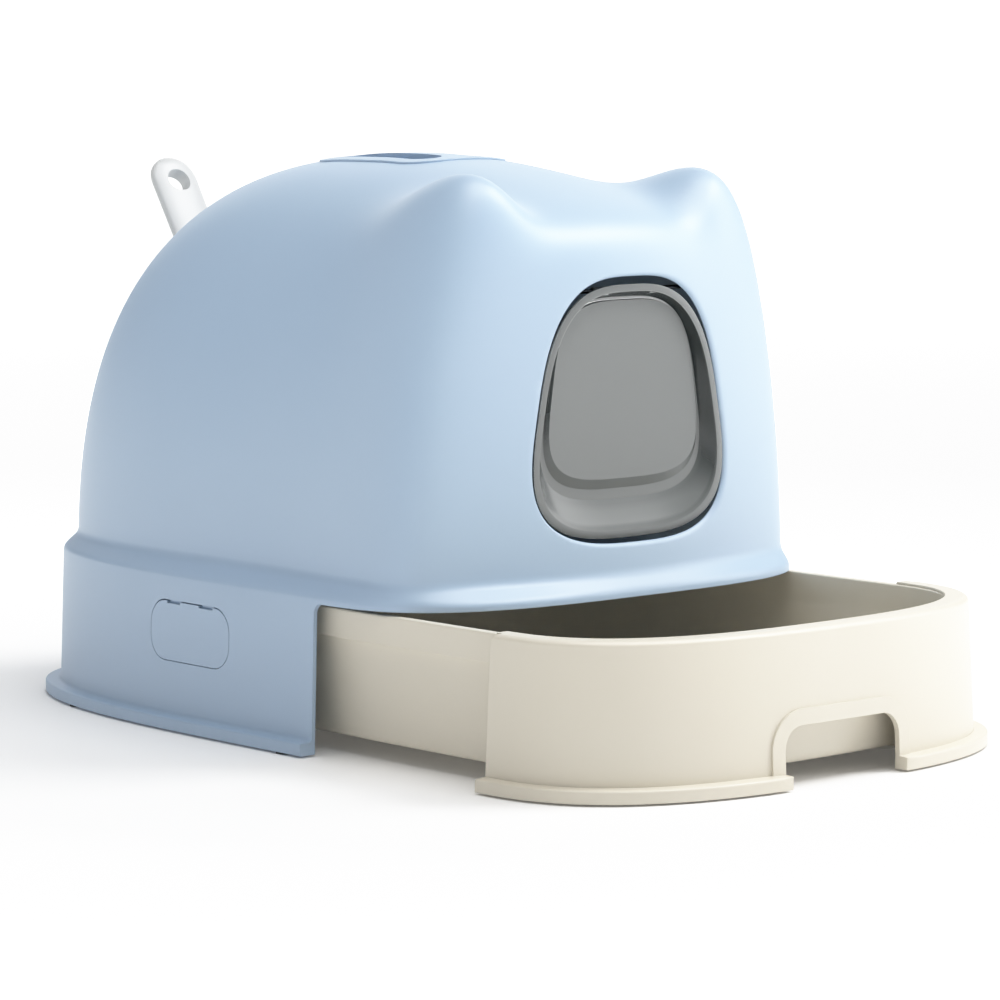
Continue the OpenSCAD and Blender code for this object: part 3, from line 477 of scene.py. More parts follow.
def moulded_plastic(name, colour, shade, roughness, grain, ior=1.49, shine=0.5):
    """Injection moulded plastic from a spark-eroded mould: an even satin skin, fine grain, soft edges."""
    material = new_material(name)
    tree = material.node_tree
    place = add_node(tree, "ShaderNodeTexCoord").outputs["Object"]
    # the melt cools unevenly: the tint drifts over about 110 mm
    drift = add_node(tree, "ShaderNodeTexNoise", {"Vector": place, "Scale": per_metre(111.1), "Detail": 2.0})
    tint = add_node(tree, "ShaderNodeMix", {0: drift.outputs["Fac"], 6: linear(colour), 7: linear(shade)},
                    data_type="RGBA")
    # the real grain is about 0.1 mm; it is drawn at 0.9 mm so that it shows at all
    skin = add_node(tree, "ShaderNodeTexNoise", {"Vector": place, "Scale": per_metre(0.909), "Detail": 3.0})
    # slow waves that every moulded wall has, some 60 mm long
    wave = add_node(tree, "ShaderNodeTexNoise", {"Vector": place, "Scale": per_metre(62.5), "Detail": 1.0})
    gloss = add_node(tree, "ShaderNodeMapRange", {"Value": skin.outputs["Fac"], "To Min": roughness - 0.04,
                                                  "To Max": roughness + 0.04})
    soft_edge = add_node(tree, "ShaderNodeBevel", {"Radius": 0.0008}, samples=6)
    sunk = add_node(tree, "ShaderNodeBump", {
        "Height": wave.outputs["Fac"], "Normal": soft_edge.outputs["Normal"],
        "Strength": 0.25, "Distance": 0.0006})
    rough = add_node(tree, "ShaderNodeBump", {
        "Height": skin.outputs["Fac"], "Normal": sunk.outputs["Normal"],
        "Strength": grain, "Distance": 0.00006})
    shader = add_node(tree, "ShaderNodeBsdfPrincipled", {
        "Base Color": tint.outputs[2], "Roughness": gloss.outputs["Result"], "IOR": ior,
        "Normal": rough.outputs["Normal"], "Specular IOR Level": shine})
    add_node(tree, "ShaderNodeOutputMaterial", {"Surface": shader.outputs["BSDF"]})
    return material


# polypropylene, moulded, sky blue: satin, slightly waxy, broad soft highlights
blue_pp = moulded_plastic("polypropylene_moulded_sky_blue", "#A3BAD2", "#A7BDD4", 0.46, 0.20, shine=1.0)
# polypropylene, moulded, ivory: the same satin skin
cream_pp = moulded_plastic("polypropylene_moulded_ivory", "#DAD3C3", "#DCD6C7", 0.42, 0.20, shine=0.8)
# polypropylene, moulded, white, from a polished mould: a clearer highlight
white_pp = moulded_plastic("polypropylene_moulded_white", "#BFC1C2", "#C2C4C4", 0.34, 0.10)
# acetal, moulded: dense milk-white glides and clips with a greasy sheen
white_pom = moulded_plastic("acetal_moulded_white", "#EDEDE8", "#F0F0EB", 0.28, 0.08, ior=1.48)
# thermoplastic rubber, moulded: matt dark grey pads and caps
grey_tpe = moulded_plastic("thermoplastic_rubber_moulded_grey", "#3A3D40", "#404346", 0.75, 0.5)


def drawn_steel(name, colour):
    """Steel wire and screws, drawn: fine lengthwise marks that stretch the highlight."""
    material = new_material(name)
    tree = material.node_tree
    place = add_node(tree, "ShaderNodeTexCoord").outputs["Object"]
    # marks 8 mm long; real ones are 0.05 mm apart, and these 0.4 mm so that they show at all
    long, apart = per_metre(8.333), per_metre(0.385)
    along = add_node(tree, "ShaderNodeMapping", {"Vector": place, "Scale": (long, apart, apart)})
    marks = add_node(tree, "ShaderNodeTexNoise", {
        "Vector": along.outputs["Vector"], "Scale": 1.0, "Detail": 2.0})
    gloss = add_node(tree, "ShaderNodeMapRange", {
        "Value": marks.outputs["Fac"], "To Min": 0.18, "To Max": 0.34})
    bump = add_node(tree, "ShaderNodeBump", {"Height": marks.outputs["Fac"], "Strength": 0.15,
                                             "Distance": 0.00003})
    shader = add_node(tree, "ShaderNodeBsdfPrincipled", {
        "Base Color": linear(colour), "Metallic": 1.0, "Roughness": gloss.outputs["Result"],
        "Normal": bump.outputs["Normal"]})
    add_node(tree, "ShaderNodeOutputMaterial", {"Surface": shader.outputs["BSDF"]})
    return material


def smoked_polycarbonate():
    """Polycarbonate, moulded, smoke tinted: hazed flats, walls painted dark as shade, what faces up painted
    lighter, and edges painted pale as a highlight.
    """
    material = new_material("polycarbonate_moulded_smoke")
    tree = material.node_tree
    place = add_node(tree, "ShaderNodeTexCoord")
    # slow waves of a moulded sheet, some 70 mm long
    wave = add_node(tree, "ShaderNodeTexNoise", {
        "Vector": place.outputs["Object"], "Scale": per_metre(71.43), "Detail": 1.0})
    bump = add_node(tree, "ShaderNodeBump", {
        "Height": wave.outputs["Fac"], "Strength": 0.10, "Distance": 0.0006})
    # the frosting is finer than 0.1 mm; it is drawn at 1.1 mm so that it shows at all
    frost = add_node(tree, "ShaderNodeTexNoise", {
        "Vector": place.outputs["Object"], "Scale": per_metre(1.111), "Detail": 2.0})
    gloss = add_node(tree, "ShaderNodeMapRange", {
        "Value": frost.outputs["Fac"], "To Min": 0.24, "To Max": 0.28})
    # flats face the front or the back of the flap; its walls do not, and are painted dark as shade
    facing = add_node(tree, "ShaderNodeSeparateXYZ", {"Vector": place.outputs["Normal"]})
    flat = add_node(tree, "ShaderNodeMath", {0: facing.outputs["Y"]}, operation="ABSOLUTE")
    flats_free_of_painted_shade = add_node(tree, "ShaderNodeMapRange", {
        "Value": flat.outputs["Value"], "From Min": 0.82, "From Max": 0.97})
    # painted light: what faces up is painted lighter, as if lit from above
    up_facing_painted_light = add_node(tree, "ShaderNodeMapRange", {
        "Value": facing.outputs["Z"], "From Min": 0.05, "From Max": 0.35})
    painted_light_over_shade = add_node(tree, "ShaderNodeMath", {0: flats_free_of_painted_shade.outputs["Result"], 1: up_facing_painted_light.outputs["Result"]},
                    operation="MAXIMUM")
    # painted shade and light: dark grey on the walls, lighter grey on the flats and on what faces up
    body = add_node(tree, "ShaderNodeMix", {
        0: painted_light_over_shade.outputs["Value"], 6: linear("#454C4D"), 7: linear("#8F9393")}, data_type="RGBA")
    # painted highlight: the edges are painted pale over about 1 mm
    rounded = add_node(tree, "ShaderNodeBevel", {"Radius": 0.0009}, samples=6)
    own = add_node(tree, "ShaderNodeNewGeometry")
    turn = add_node(tree, "ShaderNodeVectorMath", {0: rounded.outputs["Normal"], 1: own.outputs["Normal"]},
                    operation="DOT_PRODUCT")
    edge = add_node(tree, "ShaderNodeMapRange", {
        "Value": turn.outputs["Value"], "From Min": 0.985, "From Max": 0.90})
    colour = add_node(tree, "ShaderNodeMix", {
        0: edge.outputs["Result"], 6: body.outputs[2], 7: linear("#D5D9D9")}, data_type="RGBA")
    shader = add_node(tree, "ShaderNodeBsdfPrincipled", {
        "Base Color": colour.outputs[2], "Roughness": gloss.outputs["Result"], "IOR": 1.58,
        "Transmission Weight": 0.45, "Normal": bump.outputs["Normal"], "Specular IOR Level": 0.25})
    add_node(tree, "ShaderNodeOutputMaterial", {"Surface": shader.outputs["BSDF"]})
    return material


# stainless steel, drawn: bright screws and pins
steel = drawn_steel("stainless_steel_drawn", "#C9CACB")
# steel wire, drawn and blackened: the dark rod that the flap hangs on
black_steel = drawn_steel("steel_drawn_blackened", "#2E3236")
smoked_pc = smoked_polycarbonate()


# ---------------------------------------------------------------- hood

# tilts of the dome's rings above the ledge, in degrees: closest together where the ears curve most
FINE_TILTS = np.concatenate([np.arange(1.6, 30, 1.4), np.arange(30, 62, 0.8), np.arange(62, 89.5, 1.2)])
COARSE_TILTS = np.arange(0, 89, 1.9)


def ledge_rings():
    """From the skirt's top edge over the ledge to the foot of the dome, both corners eased."""
    wall_foot = skirt_ring(TOP_INSET, LIP_Z)
    crest = skirt_ring(TOP_INSET + 0.3, LIP_Z + 5)
    foot, first = dome_rings([0, FINE_TILTS[1]])
    return eased(wall_foot, crest, foot, 4.2), eased(crest, foot, first, 4.5)


def hood_skin():
    """Closed shell of the hood: outer skin from the crown down, foot, inner skin up to the crown."""
    crest_arc, foot_arc = ledge_rings()
    # (inset, height, rounding) from the skirt's top down its outside, round the flange and up its inside
    skirt = softened([(TOP_INSET, LIP_Z, 0), (FLANGE_OUT, FLANGE_H + 0.6, 2.6), (0, FLANGE_H, 1.6),
                      (0, FOOT, 0.8), (FLANGE_OUT + WALL, FOOT, 0.8), (FLANGE_OUT + WALL, FLANGE_H, 0),
                      (TOP_INSET + WALL, LIP_Z - WALL, 0), (TOP_INSET + WALL + 2, LIP_Z + 3, 0)])
    tall = [skirt_wall(t) for t in (0.25, 0.5, 0.75)]
    outer = dome_rings(FINE_TILTS[1:])[::-1] + foot_arc[::-1] + crest_arc[::-1]
    low = [skirt_ring(*p) for p in skirt[1:]]
    inner = dome_rings(COARSE_TILTS, -WALL)
    return turned_skin("hood", outer + tall + low + inner, dome_pole(), dome_pole(-WALL))


def drawer_opening(back=0.0, top=LIP_Z, corner=7.0):
    """Cutting tool for all that is in front of back and below top, with a round upper corner."""
    points = box_points((-FAR / 2, back - FAR, -5), (FAR / 2, back, 0))
    points += box_points((-FAR / 2, back - FAR, 0), (FAR / 2, back - corner, top))
    for x in (-FAR / 2, FAR / 2):
        points += disc_points((x, back - corner, top - corner), corner, "x", 48)
    return hull_of("drawer_opening", points)


def door_opening():
    """Cutting tool for the door's opening: it follows the dome's face and leaves a rolled outer edge."""
    def ring(grow, depth):
        outline = egg(DOOR_W - DOOR_SNUG + grow, DOOR_H + grow, DOOR_TAPER, DOOR_Z)
        outline += (ROLL_ASIDE * grow / DOOR_ROLL, 0)
        start = np.stack([outline[:, 0], np.zeros(len(outline)), outline[:, 1]], 1)
        way = np.tile([0.0, -1.0, 0.0], (len(outline), 1))
        return start + way * (last_inside(dome_level, start, way) - depth)[:, None]

    def level_ring(grow, y):
        outline = ring(grow, 0)
        outline[:, 1] = y
        return outline
    before, behind, r = FRONT_Y - 140, FRONT_Y + 60, DOOR_ROLL
    roll = [ring(r - r * math.sin(a), r - r * math.cos(a)) for a in np.linspace(0, math.pi / 2, 7)]
    rings = [level_ring(r, before), ring(r, -0.5)] + roll + [level_ring(0, behind)]
    return turned_skin("door_opening", rings)


def grip_outline(grow, z0, z1=HOOD_H + 20):
    """Upright block round both finger pockets, larger than them by grow."""
    points = []
    for s in (-1, 1):
        for z in (z0, z1):
            points += list(np.array(slot_points(POCKET_W / 2 + grow, POCKET_LEN / 2 + grow, z))
                           + np.array((s * (BAR_W + POCKET_W) / 2, GRIP_Y, 0)))
    return hull_of("grip_outline", points)


def scoop_frame():
    """Frame of the scoop: z along the handle, its origin where handle and blade meet."""
    return Matrix.Translation((0, SCOOP_Y, SCOOP_Z)) @ Matrix.Rotation(math.radians(-LEAN), 4, "X")


def scoop_slot(grow, z0, z1):
    """Block with round ends along the scoop's axis, as the pocket is inside, larger by grow."""
    points = []
    for s in (-1, 1):
        for z in (z0, z1):
            points += disc_points((s * SLOT_HALF, 0, z), SLOT_R + grow, "z", 64)
    return moved(hull_of("scoop_slot", points), scoop_frame())


def holder_screw_frame():
    """Frame on the dome, square to it, where a screw of the scoop's pocket sits."""
    lean = math.radians(LEAN)
    way = np.array([[0, math.sin(lean), math.cos(lean)]])
    start = np.array([HOLDER_SCREW_X, SCOOP_Y, SCOOP_Z]) - 100 * way[0]
    at = start + way[0] * last_inside(dome_level, start, way, 200)[0]
    slope = np.array([float(dome_level(at + d) - dome_level(at - d)) for d in np.eye(3)])
    turn = Vector(slope).to_track_quat("Z", "Y").to_matrix().to_4x4()
    return Matrix.Translation(at) @ turn


def holder_screw_hole():
    return moved(bar("screw_hole", HOLDER_SCREW_R, (0, 0, -14), (0, 0, 14), "z", 24), holder_screw_frame())


def latch_frame():
    """Frame of the left latch: x outwards through the skirt, y along it, z up."""
    inset = FLANGE_OUT + SKIRT_DRAFT * (LATCH_Z - FLANGE_H) / (LIP_Z - FLANGE_H)
    x = skirt_x(LATCH_Y, inset)
    near = 30                           # half the stretch of skirt whose slope the plate takes
    turn = math.atan((skirt_x(LATCH_Y - near, inset) - skirt_x(LATCH_Y + near, inset)) / (2 * near))
    tip = math.atan(SKIRT_DRAFT / (LIP_Z - FLANGE_H))
    return (Matrix.Scale(-1, 4, (1, 0, 0)) @ Matrix.Translation((x, LATCH_Y, LATCH_Z))
            @ Matrix.Rotation(turn, 4, "Z") @ Matrix.Rotation(-tip, 4, "Y")
            @ Matrix.Translation((-LATCH_SUNK, 0, 0)))


def latch_outline(grow, x0, x1):
    """Block with the plate's outline, larger by grow, in the latch's frame."""
    half_len, half_h = LATCH_LEN / 2 - LATCH_CORNER, LATCH_H / 2 - LATCH_CORNER
    return hull_of("latch_outline", [p for y in (-half_len, half_len) for z in (-half_h, half_h)
                                     for x in (x0, x1)
                                     for p in disc_points((x, y, z), LATCH_CORNER + grow, "x", 96)])


def latch_pin(d, length, y):
    ends = [(-PIN_BACK, y + s * length / 2, PIN_Z) for s in (-1, 1)]
    return bar("latch_pin", d / 2, *ends, "y", 24)


def latch_lug(y):
    """Lug of the hood behind a slit of the latch, with the hole for its pin."""
    length = SLIT_LEN - 2
    neck = hull_of("neck", box_points((-PIN_BACK - LUG_R, y - length / 2, PIN_Z),
                                      (-PIN_BACK, y + length / 2, LATCH_H / 2 + LATCH_GAP + 3)))
    return cut(join(latch_pin(2 * LUG_R, length, y), neck), latch_pin(PIN_D + 2 * SEAT, length + 4, y))


def hinge_boss():
    """Block inside the front face that a hinge bracket is screwed to, sloped above so that it moulds."""
    x0, x1 = BRACKET_X - BOSS_HALF, BRACKET_X + BOSS_HALF
    return hull_of("hinge_boss", box_points((x0, FACE_AT_ROD, BOSS_Z), (x1, BOSS_Y, BOSS_Z + 16))
                   + box_points((x0, FACE_AT_ROD, BOSS_Z + 23), (x1, FACE_AT_ROD + 8, BOSS_Z + 24)))


def guide_rib():
    """Rib inside the skirt that the drawer runs against, tapered towards its edge."""
    root, edge = INNER_W + WALL / 2, GUIDE_X + FIT
    return hull_of("guide_rib",
                   box_points((root, GUIDE_Y0, GUIDE_Z - GUIDE_H),
                              (root + 1, GUIDE_Y0 + GUIDE_LEN, GUIDE_Z + GUIDE_H))
                   + box_points((edge, GUIDE_Y0 + 2, GUIDE_Z - GUIDE_H / 2),
                                (edge + 1, GUIDE_Y0 + GUIDE_LEN - 2, GUIDE_Z + GUIDE_H / 2)))


def bracket_screw_holes():
    y, z = BOSS_Y + 4, BOSS_Z + 8
    return [bar("screw_hole", BRACKET_SCREW_D / 2, (x, y, z), (x, y - BRACKET_SCREW_LEN, z), "y", 24)
            for x in (BRACKET_X - BRACKET_SCREW_X, BRACKET_X + BRACKET_SCREW_X)]


def both(make):
    """What make gives, a piece or a list, with the mirror image of each."""
    made = make()
    made = made if isinstance(made, list) else [made]
    return made + [mirrored(piece) for piece in made]


def solid_dome(grow, low_tilt=0.0):
    """The dome as a solid, moved out by grow, from low_tilt up to the crown."""
    tilts = np.concatenate([[low_tilt], FINE_TILTS[FINE_TILTS > low_tilt + 0.5]])
    return turned_skin("solid_dome", dome_rings(tilts, grow)[::-1], dome_pole(grow))


def latch_seams():
    """Cutting tools that leave a thin seam round the latch and a wider gap above it."""
    return [moved(latch_outline(LATCH_SEAM, -25, 25), latch_frame() @ Matrix.Translation((0, 0, up)))
            for up in (0, LATCH_GAP - LATCH_SEAM)]


def hood_piece():
    """The hood: its shell with bosses, ribs and lugs inside, and the openings cut through it."""
    hood = hood_skin()
    bosses = both(hinge_boss)
    bosses += both(lambda: moved(bar("screw_boss", 4, (0, 0, -11), (0, 0, 2)), holder_screw_frame()))
    for boss in bosses:
        meet(boss, solid_dome(-1.2))
    join(hood, *bosses)
    cut(hood, drawer_opening(), door_opening(),
        grip_outline(GRIP_EDGE - GRIP_STEP, GRIP_Z - 20), scoop_slot(HOLDER_WALL + SEAT, -60, 60),
        *both(bracket_screw_holes), *both(latch_seams), *both(holder_screw_hole))
    lugs = both(lambda: [moved(latch_lug(s * PIN_Y), latch_frame()) for s in (-1, 1)])
    join(hood, *lugs, *both(guide_rib))
    return finished(hood, "hood_moulding", blue_pp, "hood", ["hood_shell"])


# ---------------------------------------------------------------- carry handle and scoop's pocket

def carry_handle_piece():
    """Insert in the crown: a raised rim, two finger pockets and the bar between them."""
    plug = grip_outline(GRIP_EDGE - GRIP_STEP - FIT, GRIP_Z)
    rim = cut(grip_outline(GRIP_EDGE, GRIP_Z), solid_dome(SEAT, 40))
    handle = meet(join(plug, rim), solid_dome(GRIP_PROUD, 30))
    pockets = [slot_bar("pocket", POCKET_W / 2, POCKET_LEN / 2, GRIP_Z + GRIP_FLOOR, HOOD_H + 20,
                        (s * (BAR_W + POCKET_W) / 2, GRIP_Y, 0)) for s in (-1, 1)]
    cut(handle, *pockets)

    def snaps():
        """Wedges that hold the insert under the hood's skin."""
        x, top = GRIP_W - GRIP_STEP - FIT, HOOD_H - WALL - 8 - GRIP_PROUD
        return [hull_of("snap", box_points((x - 0.5, y - 7, GRIP_Z + 3), (x + 0.5, y + 7, GRIP_Z + 5))
                        + box_points((x, y - 7, top - 0.5), (x + 2.2, y + 7, top + 0.5)))
                for y in (GRIP_Y - 22, GRIP_Y + 22)]
    join(handle, *both(snaps))
    return finished(handle, "carry_handle_insert", blue_pp, "hood", ["carry_handle"])


def scoop_holder_piece():
    """Collar round the slot in the back of the hood, and the closed pocket under it."""
    pocket = meet(scoop_slot(HOLDER_WALL, -HOLDER_DEEP, 60), solid_dome(COLLAR_PROUD))
    ears = [p for x in (1 - HOLDER_SCREW_X, HOLDER_SCREW_X - 1) for z in (-60, 60)
            for p in disc_points((x, 0, z), 6, "z", 48)]
    collar = join(scoop_slot(5, -60, 60), moved(hull_of("collar_ears", ears), scoop_frame()))
    collar = cut(meet(collar, solid_dome(COLLAR_PROUD)), solid_dome(SEAT))
    join(pocket, collar)
    drain = slot_row("drain_slots", count=5, pitch=12, width=4, length=14, depth=6)
    cut(pocket, scoop_slot(0, HOLDER_WALL - HOLDER_DEEP, 61), *both(holder_screw_hole),
        moved(drain, scoop_frame() @ Matrix.Translation((0, 0, HOLDER_WALL - HOLDER_DEEP))))
    # ribs that hold the blade upright: one at each end, two on each side
    ribs, z0, z1, half = [], 1 - HOLDER_DEEP, -30, 2
    for s in (-1, 1):
        x0, x1 = sorted((s * (BLADE_W / 2 + FIT), s * (SLOT_HALF + SLOT_R + 1)))
        y0, y1 = sorted((s * (BLADE_DEEP / 2 + FIT), s * (SLOT_R + 1)))
        ribs.append(box_points((x0, -half, z0), (x1, half, z1)))
        ribs += [box_points((x - half, y0, z0), (x + half, y1, z1)) for x in (-25, 25)]
    join(pocket, *[moved(hull_of("rib", rib), scoop_frame()) for rib in ribs])
    return finished(pocket, "scoop_pocket", blue_pp, "hood", ["scoop_holder"])


# ---------------------------------------------------------------- flap door

def egg_ring(y, w, h, taper, zc, power=EGG_ROUND):
    """The door's outline as a ring that stands upright at y."""
    outline = egg(w, h, taper, zc, power)
    return np.stack([outline[:, 0], np.full(len(outline), float(y)), outline[:, 1]], 1)


def door_piece():
    """Flap: a flat rim, a shoulder down into a gutter, a crowned middle, and two lugs for the rod."""
    # (blend from rim to middle, depth, rounding): 0 is the outline of the rim, 1 that of the middle
    deep, crown = DISH_DEEP, DISH_DEEP - DISH_CROWN
    path = softened([(-0.35, 0, 0), (0, 0, 0.03), (0.13, 1.8, 0.04), (0.58, deep, 0.09),
                     (0.78, deep, 0.05), (0.97, crown, 0.03), (1.35, crown, 0)], 5)
    sizes = [np.array(v, float) for v in ((PANEL_W - 5, PANEL_H - 5, DOOR_TAPER, PANEL_Z, EGG_ROUND),
                                          (DISH_W, DISH_H, DISH_TAPER, DISH_Z, DISH_ROUND))]

    def ring(t, depth, grow=0.0):
        w, h, taper, zc, power = sizes[0] * (1 - t) + sizes[1] * t
        return egg_ring(PANEL_Y + depth, w + grow, h + grow, taper, zc, power)
    # (inset, depth) round the outer edge, rounded to 0.6 mm
    edge = [(0.6, 0), (0.18, 0.18), (0, 0.6), (0, DOOR_T - 0.6), (0.18, DOOR_T - 0.18), (0.6, DOOR_T)]
    rim = [egg_ring(PANEL_Y + y, PANEL_W - i, PANEL_H - i, DOOR_TAPER, PANEL_Z) for i, y in edge]
    inside = [ring(t, y) for t, y in path[1:-1]]
    floor = [egg_ring(PANEL_Y + crown, DISH_W * k, DISH_H * k, DISH_TAPER, DISH_Z, DISH_ROUND)
             for k in (0.8, 0.5, 0.2)]
    middle = np.array([0, PANEL_Y + crown, DISH_Z])
    back_in = [ring(t, y + DOOR_T, 1.2) for t, y in path[1:-1]]
    back_floor = [r + np.array([0, DOOR_T, 0]) for r in floor]
    skin = turned_skin("door", floor[::-1] + inside[::-1] + rim + back_in + back_floor,
                       middle, middle + np.array([0, DOOR_T, 0]))
    lug = [p for x in (LUG_X0, LUG_X1) for p in disc_points((x, ROD_Y, ROD_Z), ROD_D / 2 + 1.15, "x")]
    lug += box_points((LUG_X0, PANEL_Y + DOOR_T / 2, ROD_Z - 2.8), (LUG_X1, PANEL_Y + DOOR_T, ROD_Z + 1.2))
    join(skin, *both(lambda: hull_of("lug", lug)))
    cut(skin, bar("rod_hole", ROD_D / 2 + RUN, (-50, ROD_Y, ROD_Z), (50, ROD_Y, ROD_Z), "x"))
    return finished(skin, "flap_door", smoked_pc, "door", ["door_panel"])


# ---------------------------------------------------------------- drawer

def clip_holes():
    """Holes for the push-in clips, through the pan's ear and the front's end plate."""
    return [bar("clip_hole", CLIP_D / 2 + SEAT, (CLIP_X, -30, z), (CLIP_X, 30, z), "y", 24)
            for z in CLIP_ZS]


def litter_tray_piece():
    """The pan: floor, leaning walls, thick rim band, skids below and two ears for the drawer front."""
    low = TRAY_WALL - TRAY_LEAN         # out from the rim's outline, where a wall meets the floor
    top_in = TRAY_H - BAND_H
    floor_top, inner, under = TRAY_LIFT + TRAY_WALL, low - 13, low - 10
    # (out, height, rounding) from the floor up the inside, over the band and down the outside
    wall = softened([(inner, floor_top, 0), (low - 3.4, floor_top + 0.4, 9), (0, top_in, 3),
                     (0, TRAY_H, 1.2), (BAND_W, TRAY_H, 1.6), (BAND_W, top_in, 0.8),
                     (TRAY_WALL, top_in - 0.4, 0.8), (low - 0.6, TRAY_LIFT + 0.2, 9),
                     (under, TRAY_LIFT, 0)], 6)
    shares = np.array([0.3, 0.6, 0.9])
    rings = ([tray_ring(inner, floor_top) * (k, k, 1) for k in shares] + [tray_ring(*p) for p in wall]
             + [tray_ring(under, TRAY_LIFT) * (k, k, 1) for k in shares[::-1]])
    pan = turned_skin("pan", rings, np.array([0, 0, floor_top]), np.array([0, 0, TRAY_LIFT]))
    r = GUIDE_H / 2
    lug = [p for s in (-1, 1) for x in (GUIDE_X - r, GUIDE_X - 4 * r) for z in (-r, r)
           for p in disc_points((x, LUG_Y + s * (GUIDE_LEN / 2 - r), GUIDE_Z + z), r)]
    mid_wall = [tray_ring(low - 2, TRAY_LIFT), tray_ring(TRAY_WALL / 2, top_in),
                tray_ring(TRAY_WALL / 2, TRAY_H)]
    skid = [p for y in (-60, TRAY_L - 73) for z in (3, TRAY_LIFT + 1) for p in disc_points((SKID_X, y, z), 7)]
    ear_y = FRONT_BACK - TRAY_WALL - SEAT
    ear = box_points((TRAY_W + low - 0.5, ear_y - TRAY_WALL, 24), (EAR_PLATE_X - 0.5, ear_y, 36))
    ear += box_points((TRAY_W + 0.5, ear_y - TRAY_WALL, top_in - 4), (EAR_PLATE_X - 0.5, ear_y, top_in - 1))
    added = both(lambda: [cut(hull_of("lug", lug), turned_skin("mid_wall", mid_wall[::-1])),
                          hull_of("skid", skid), hull_of("ear", ear)])
    for i in range(4):
        y = i * TRAY_L * 0.22
        added.append(hull_of("cross_rib", [p for x in (-SKID_X, SKID_X)
                                           for z in (TRAY_LIFT - 3, TRAY_LIFT + 1)
                                           for p in disc_points((x, y, z), 1.5, "z", 16)]))
    join(pan, *added)
    cut(pan, *both(clip_holes))
    return finished(pan, "litter_pan", cream_pp, "drawer", ["litter_tray"], -PULL_OUT)


def hand_arch(grow):
    """The hand hole's arch, open to the floor, moved out by grow."""
    r = HAND_CORNER + grow
    y0, y1 = -200, -60                  # from in front of the drawer to behind its wall
    points = box_points((-HAND_W - grow, y0, -5), (HAND_W + grow, y1, -4))
    for s in (-1, 1):
        for y in (y0, y1):
            points += disc_points((s * (HAND_W + grow - r), y, HAND_H + grow - r), r, "y", 64)
    return hull_of("hand_arch", points)


def wall_corner():
    """What is cut off the upper corner of a wall's end, so that it follows the hood's opening."""
    block = hull_of("wall_corner", box_points((INNER_W - 1, FRONT_BACK - 7, TRAY_H - 7),
                                              (INNER_W + 60, 13, TRAY_H + 7)))
    return cut(block, drawer_opening(FRONT_BACK, FRONT_TOP))


def wall_solid(out):
    """The front's wall as a solid, moved out by out except at its rim."""
    rings = softened([(WALL_IN - out, FOOT, 0), (WALL_IN - out, FLANGE_H, 2),
                      (WALL_TOP - 0.1 - out, TRAY_H - 0.4, 1.6), (WALL_TOP + 2.6, FRONT_TOP - 0.1, 2.4),
                      (WALL_TOP + 5, FRONT_TOP, 0)])
    return turned_skin("wall", [front_ring(*p) for p in rings][::-1])


def flange_solid():
    """The front's foot flange as a solid."""
    rings = softened([(0, FOOT, 0), (0, FLANGE_H, 1.7), (WALL_IN + 2, FLANGE_H + 0.8, 0)], 6)
    return turned_skin("flange", [front_ring(*p) for p in rings][::-1])


def wall_ribs():
    """Stiffening ribs behind the wall, spread by angle from straight ahead."""
    def level(p):
        x, y = np.abs(p[..., 0]) / FRONT_W, np.abs(p[..., 1]) / FRONT_REACH
        return x ** DRAWER_ROUND + y ** DRAWER_ROUND - 1
    ribs = []
    for spread in (-60, -38, -22, 22, 38, 60):
        a = math.radians(270 + spread)
        c, s = math.cos(a), math.sin(a)
        reach = last_inside(level, np.zeros(2), np.array([[c, s]]))[0]
        points = [p for r in (reach - WALL_TOP - 6, reach) for z in (40, TRAY_H - 0.5)
                  for p in disc_points((c * r, s * r, z), 1, "z", 12)]
        clear = turned_skin("clear", [tray_ring(BAND_W + FIT, z) for z in (TRAY_H + 3, -1)])
        ribs.append(cut(meet(hull_of("rib", points), wall_solid(-0.5)), clear))
    return ribs


def drawer_front_piece():
    """Bowed front of the drawer: wall, rim, foot flange, and the hand hole with its raised border."""
    # between the feet of the hand hole the flange is cut straight, level with them
    nose = hull_of("nose", box_points((-FRONT_W, NOSE_Y - 20, -5), (FRONT_W, NOSE_Y, 40)))
    base = join(wall_solid(0), cut(flange_solid(), nose))
    join(base, meet(wall_solid(HAND_PROUD), hand_arch(HAND_RIM)))
    inside, edge = WALL_IN + TRAY_WALL, WALL_TOP + RIM_W
    hollow = turned_skin("hollow", [front_ring(WALL_TOP + TRAY_WALL, TRAY_H + SEAT),
                                    front_ring(inside, FLANGE_H), front_ring(inside, 0)])
    opening = turned_skin("opening", [front_ring(edge - 0.4, FRONT_TOP + 1),
                                      front_ring(edge + 0.5, FRONT_TOP - 0.6),
                                      front_ring(edge + 0.5, TRAY_H - 3)])
    cut(base, hollow, opening, hand_arch(0),
        hull_of("behind", box_points((-FAR / 2, FRONT_BACK, -1), (FAR / 2, 200, 200))), *both(wall_corner))

    def wall_end():
        """Plate that closes the wall at one side, with room for the pan's ears behind it."""
        y0 = FRONT_BACK - TRAY_WALL
        inner = TRAY_W + BAND_W
        end = hull_of("end", box_points((inner + FIT, y0, FOOT), (inner + 40, FRONT_BACK, TRAY_H))
                      + box_points((inner + 6, y0 - 1, FOOT), (inner + 46, y0, TRAY_H)))
        ear_room = hull_of("ear_room", box_points((0, y0 - 60 - SEAT, -1),
                                                  (EAR_PLATE_X + FIT, y0 - SEAT, 150)))
        return cut(meet(end, wall_solid(-0.5)), *clip_holes(), wall_corner(), ear_room)
    join(base, *both(wall_end), *wall_ribs())
    return finished(base, "drawer_front_moulding", cream_pp, "drawer", ["drawer_front"],
                    -PULL_OUT)


# ---------------------------------------------------------------- side latches

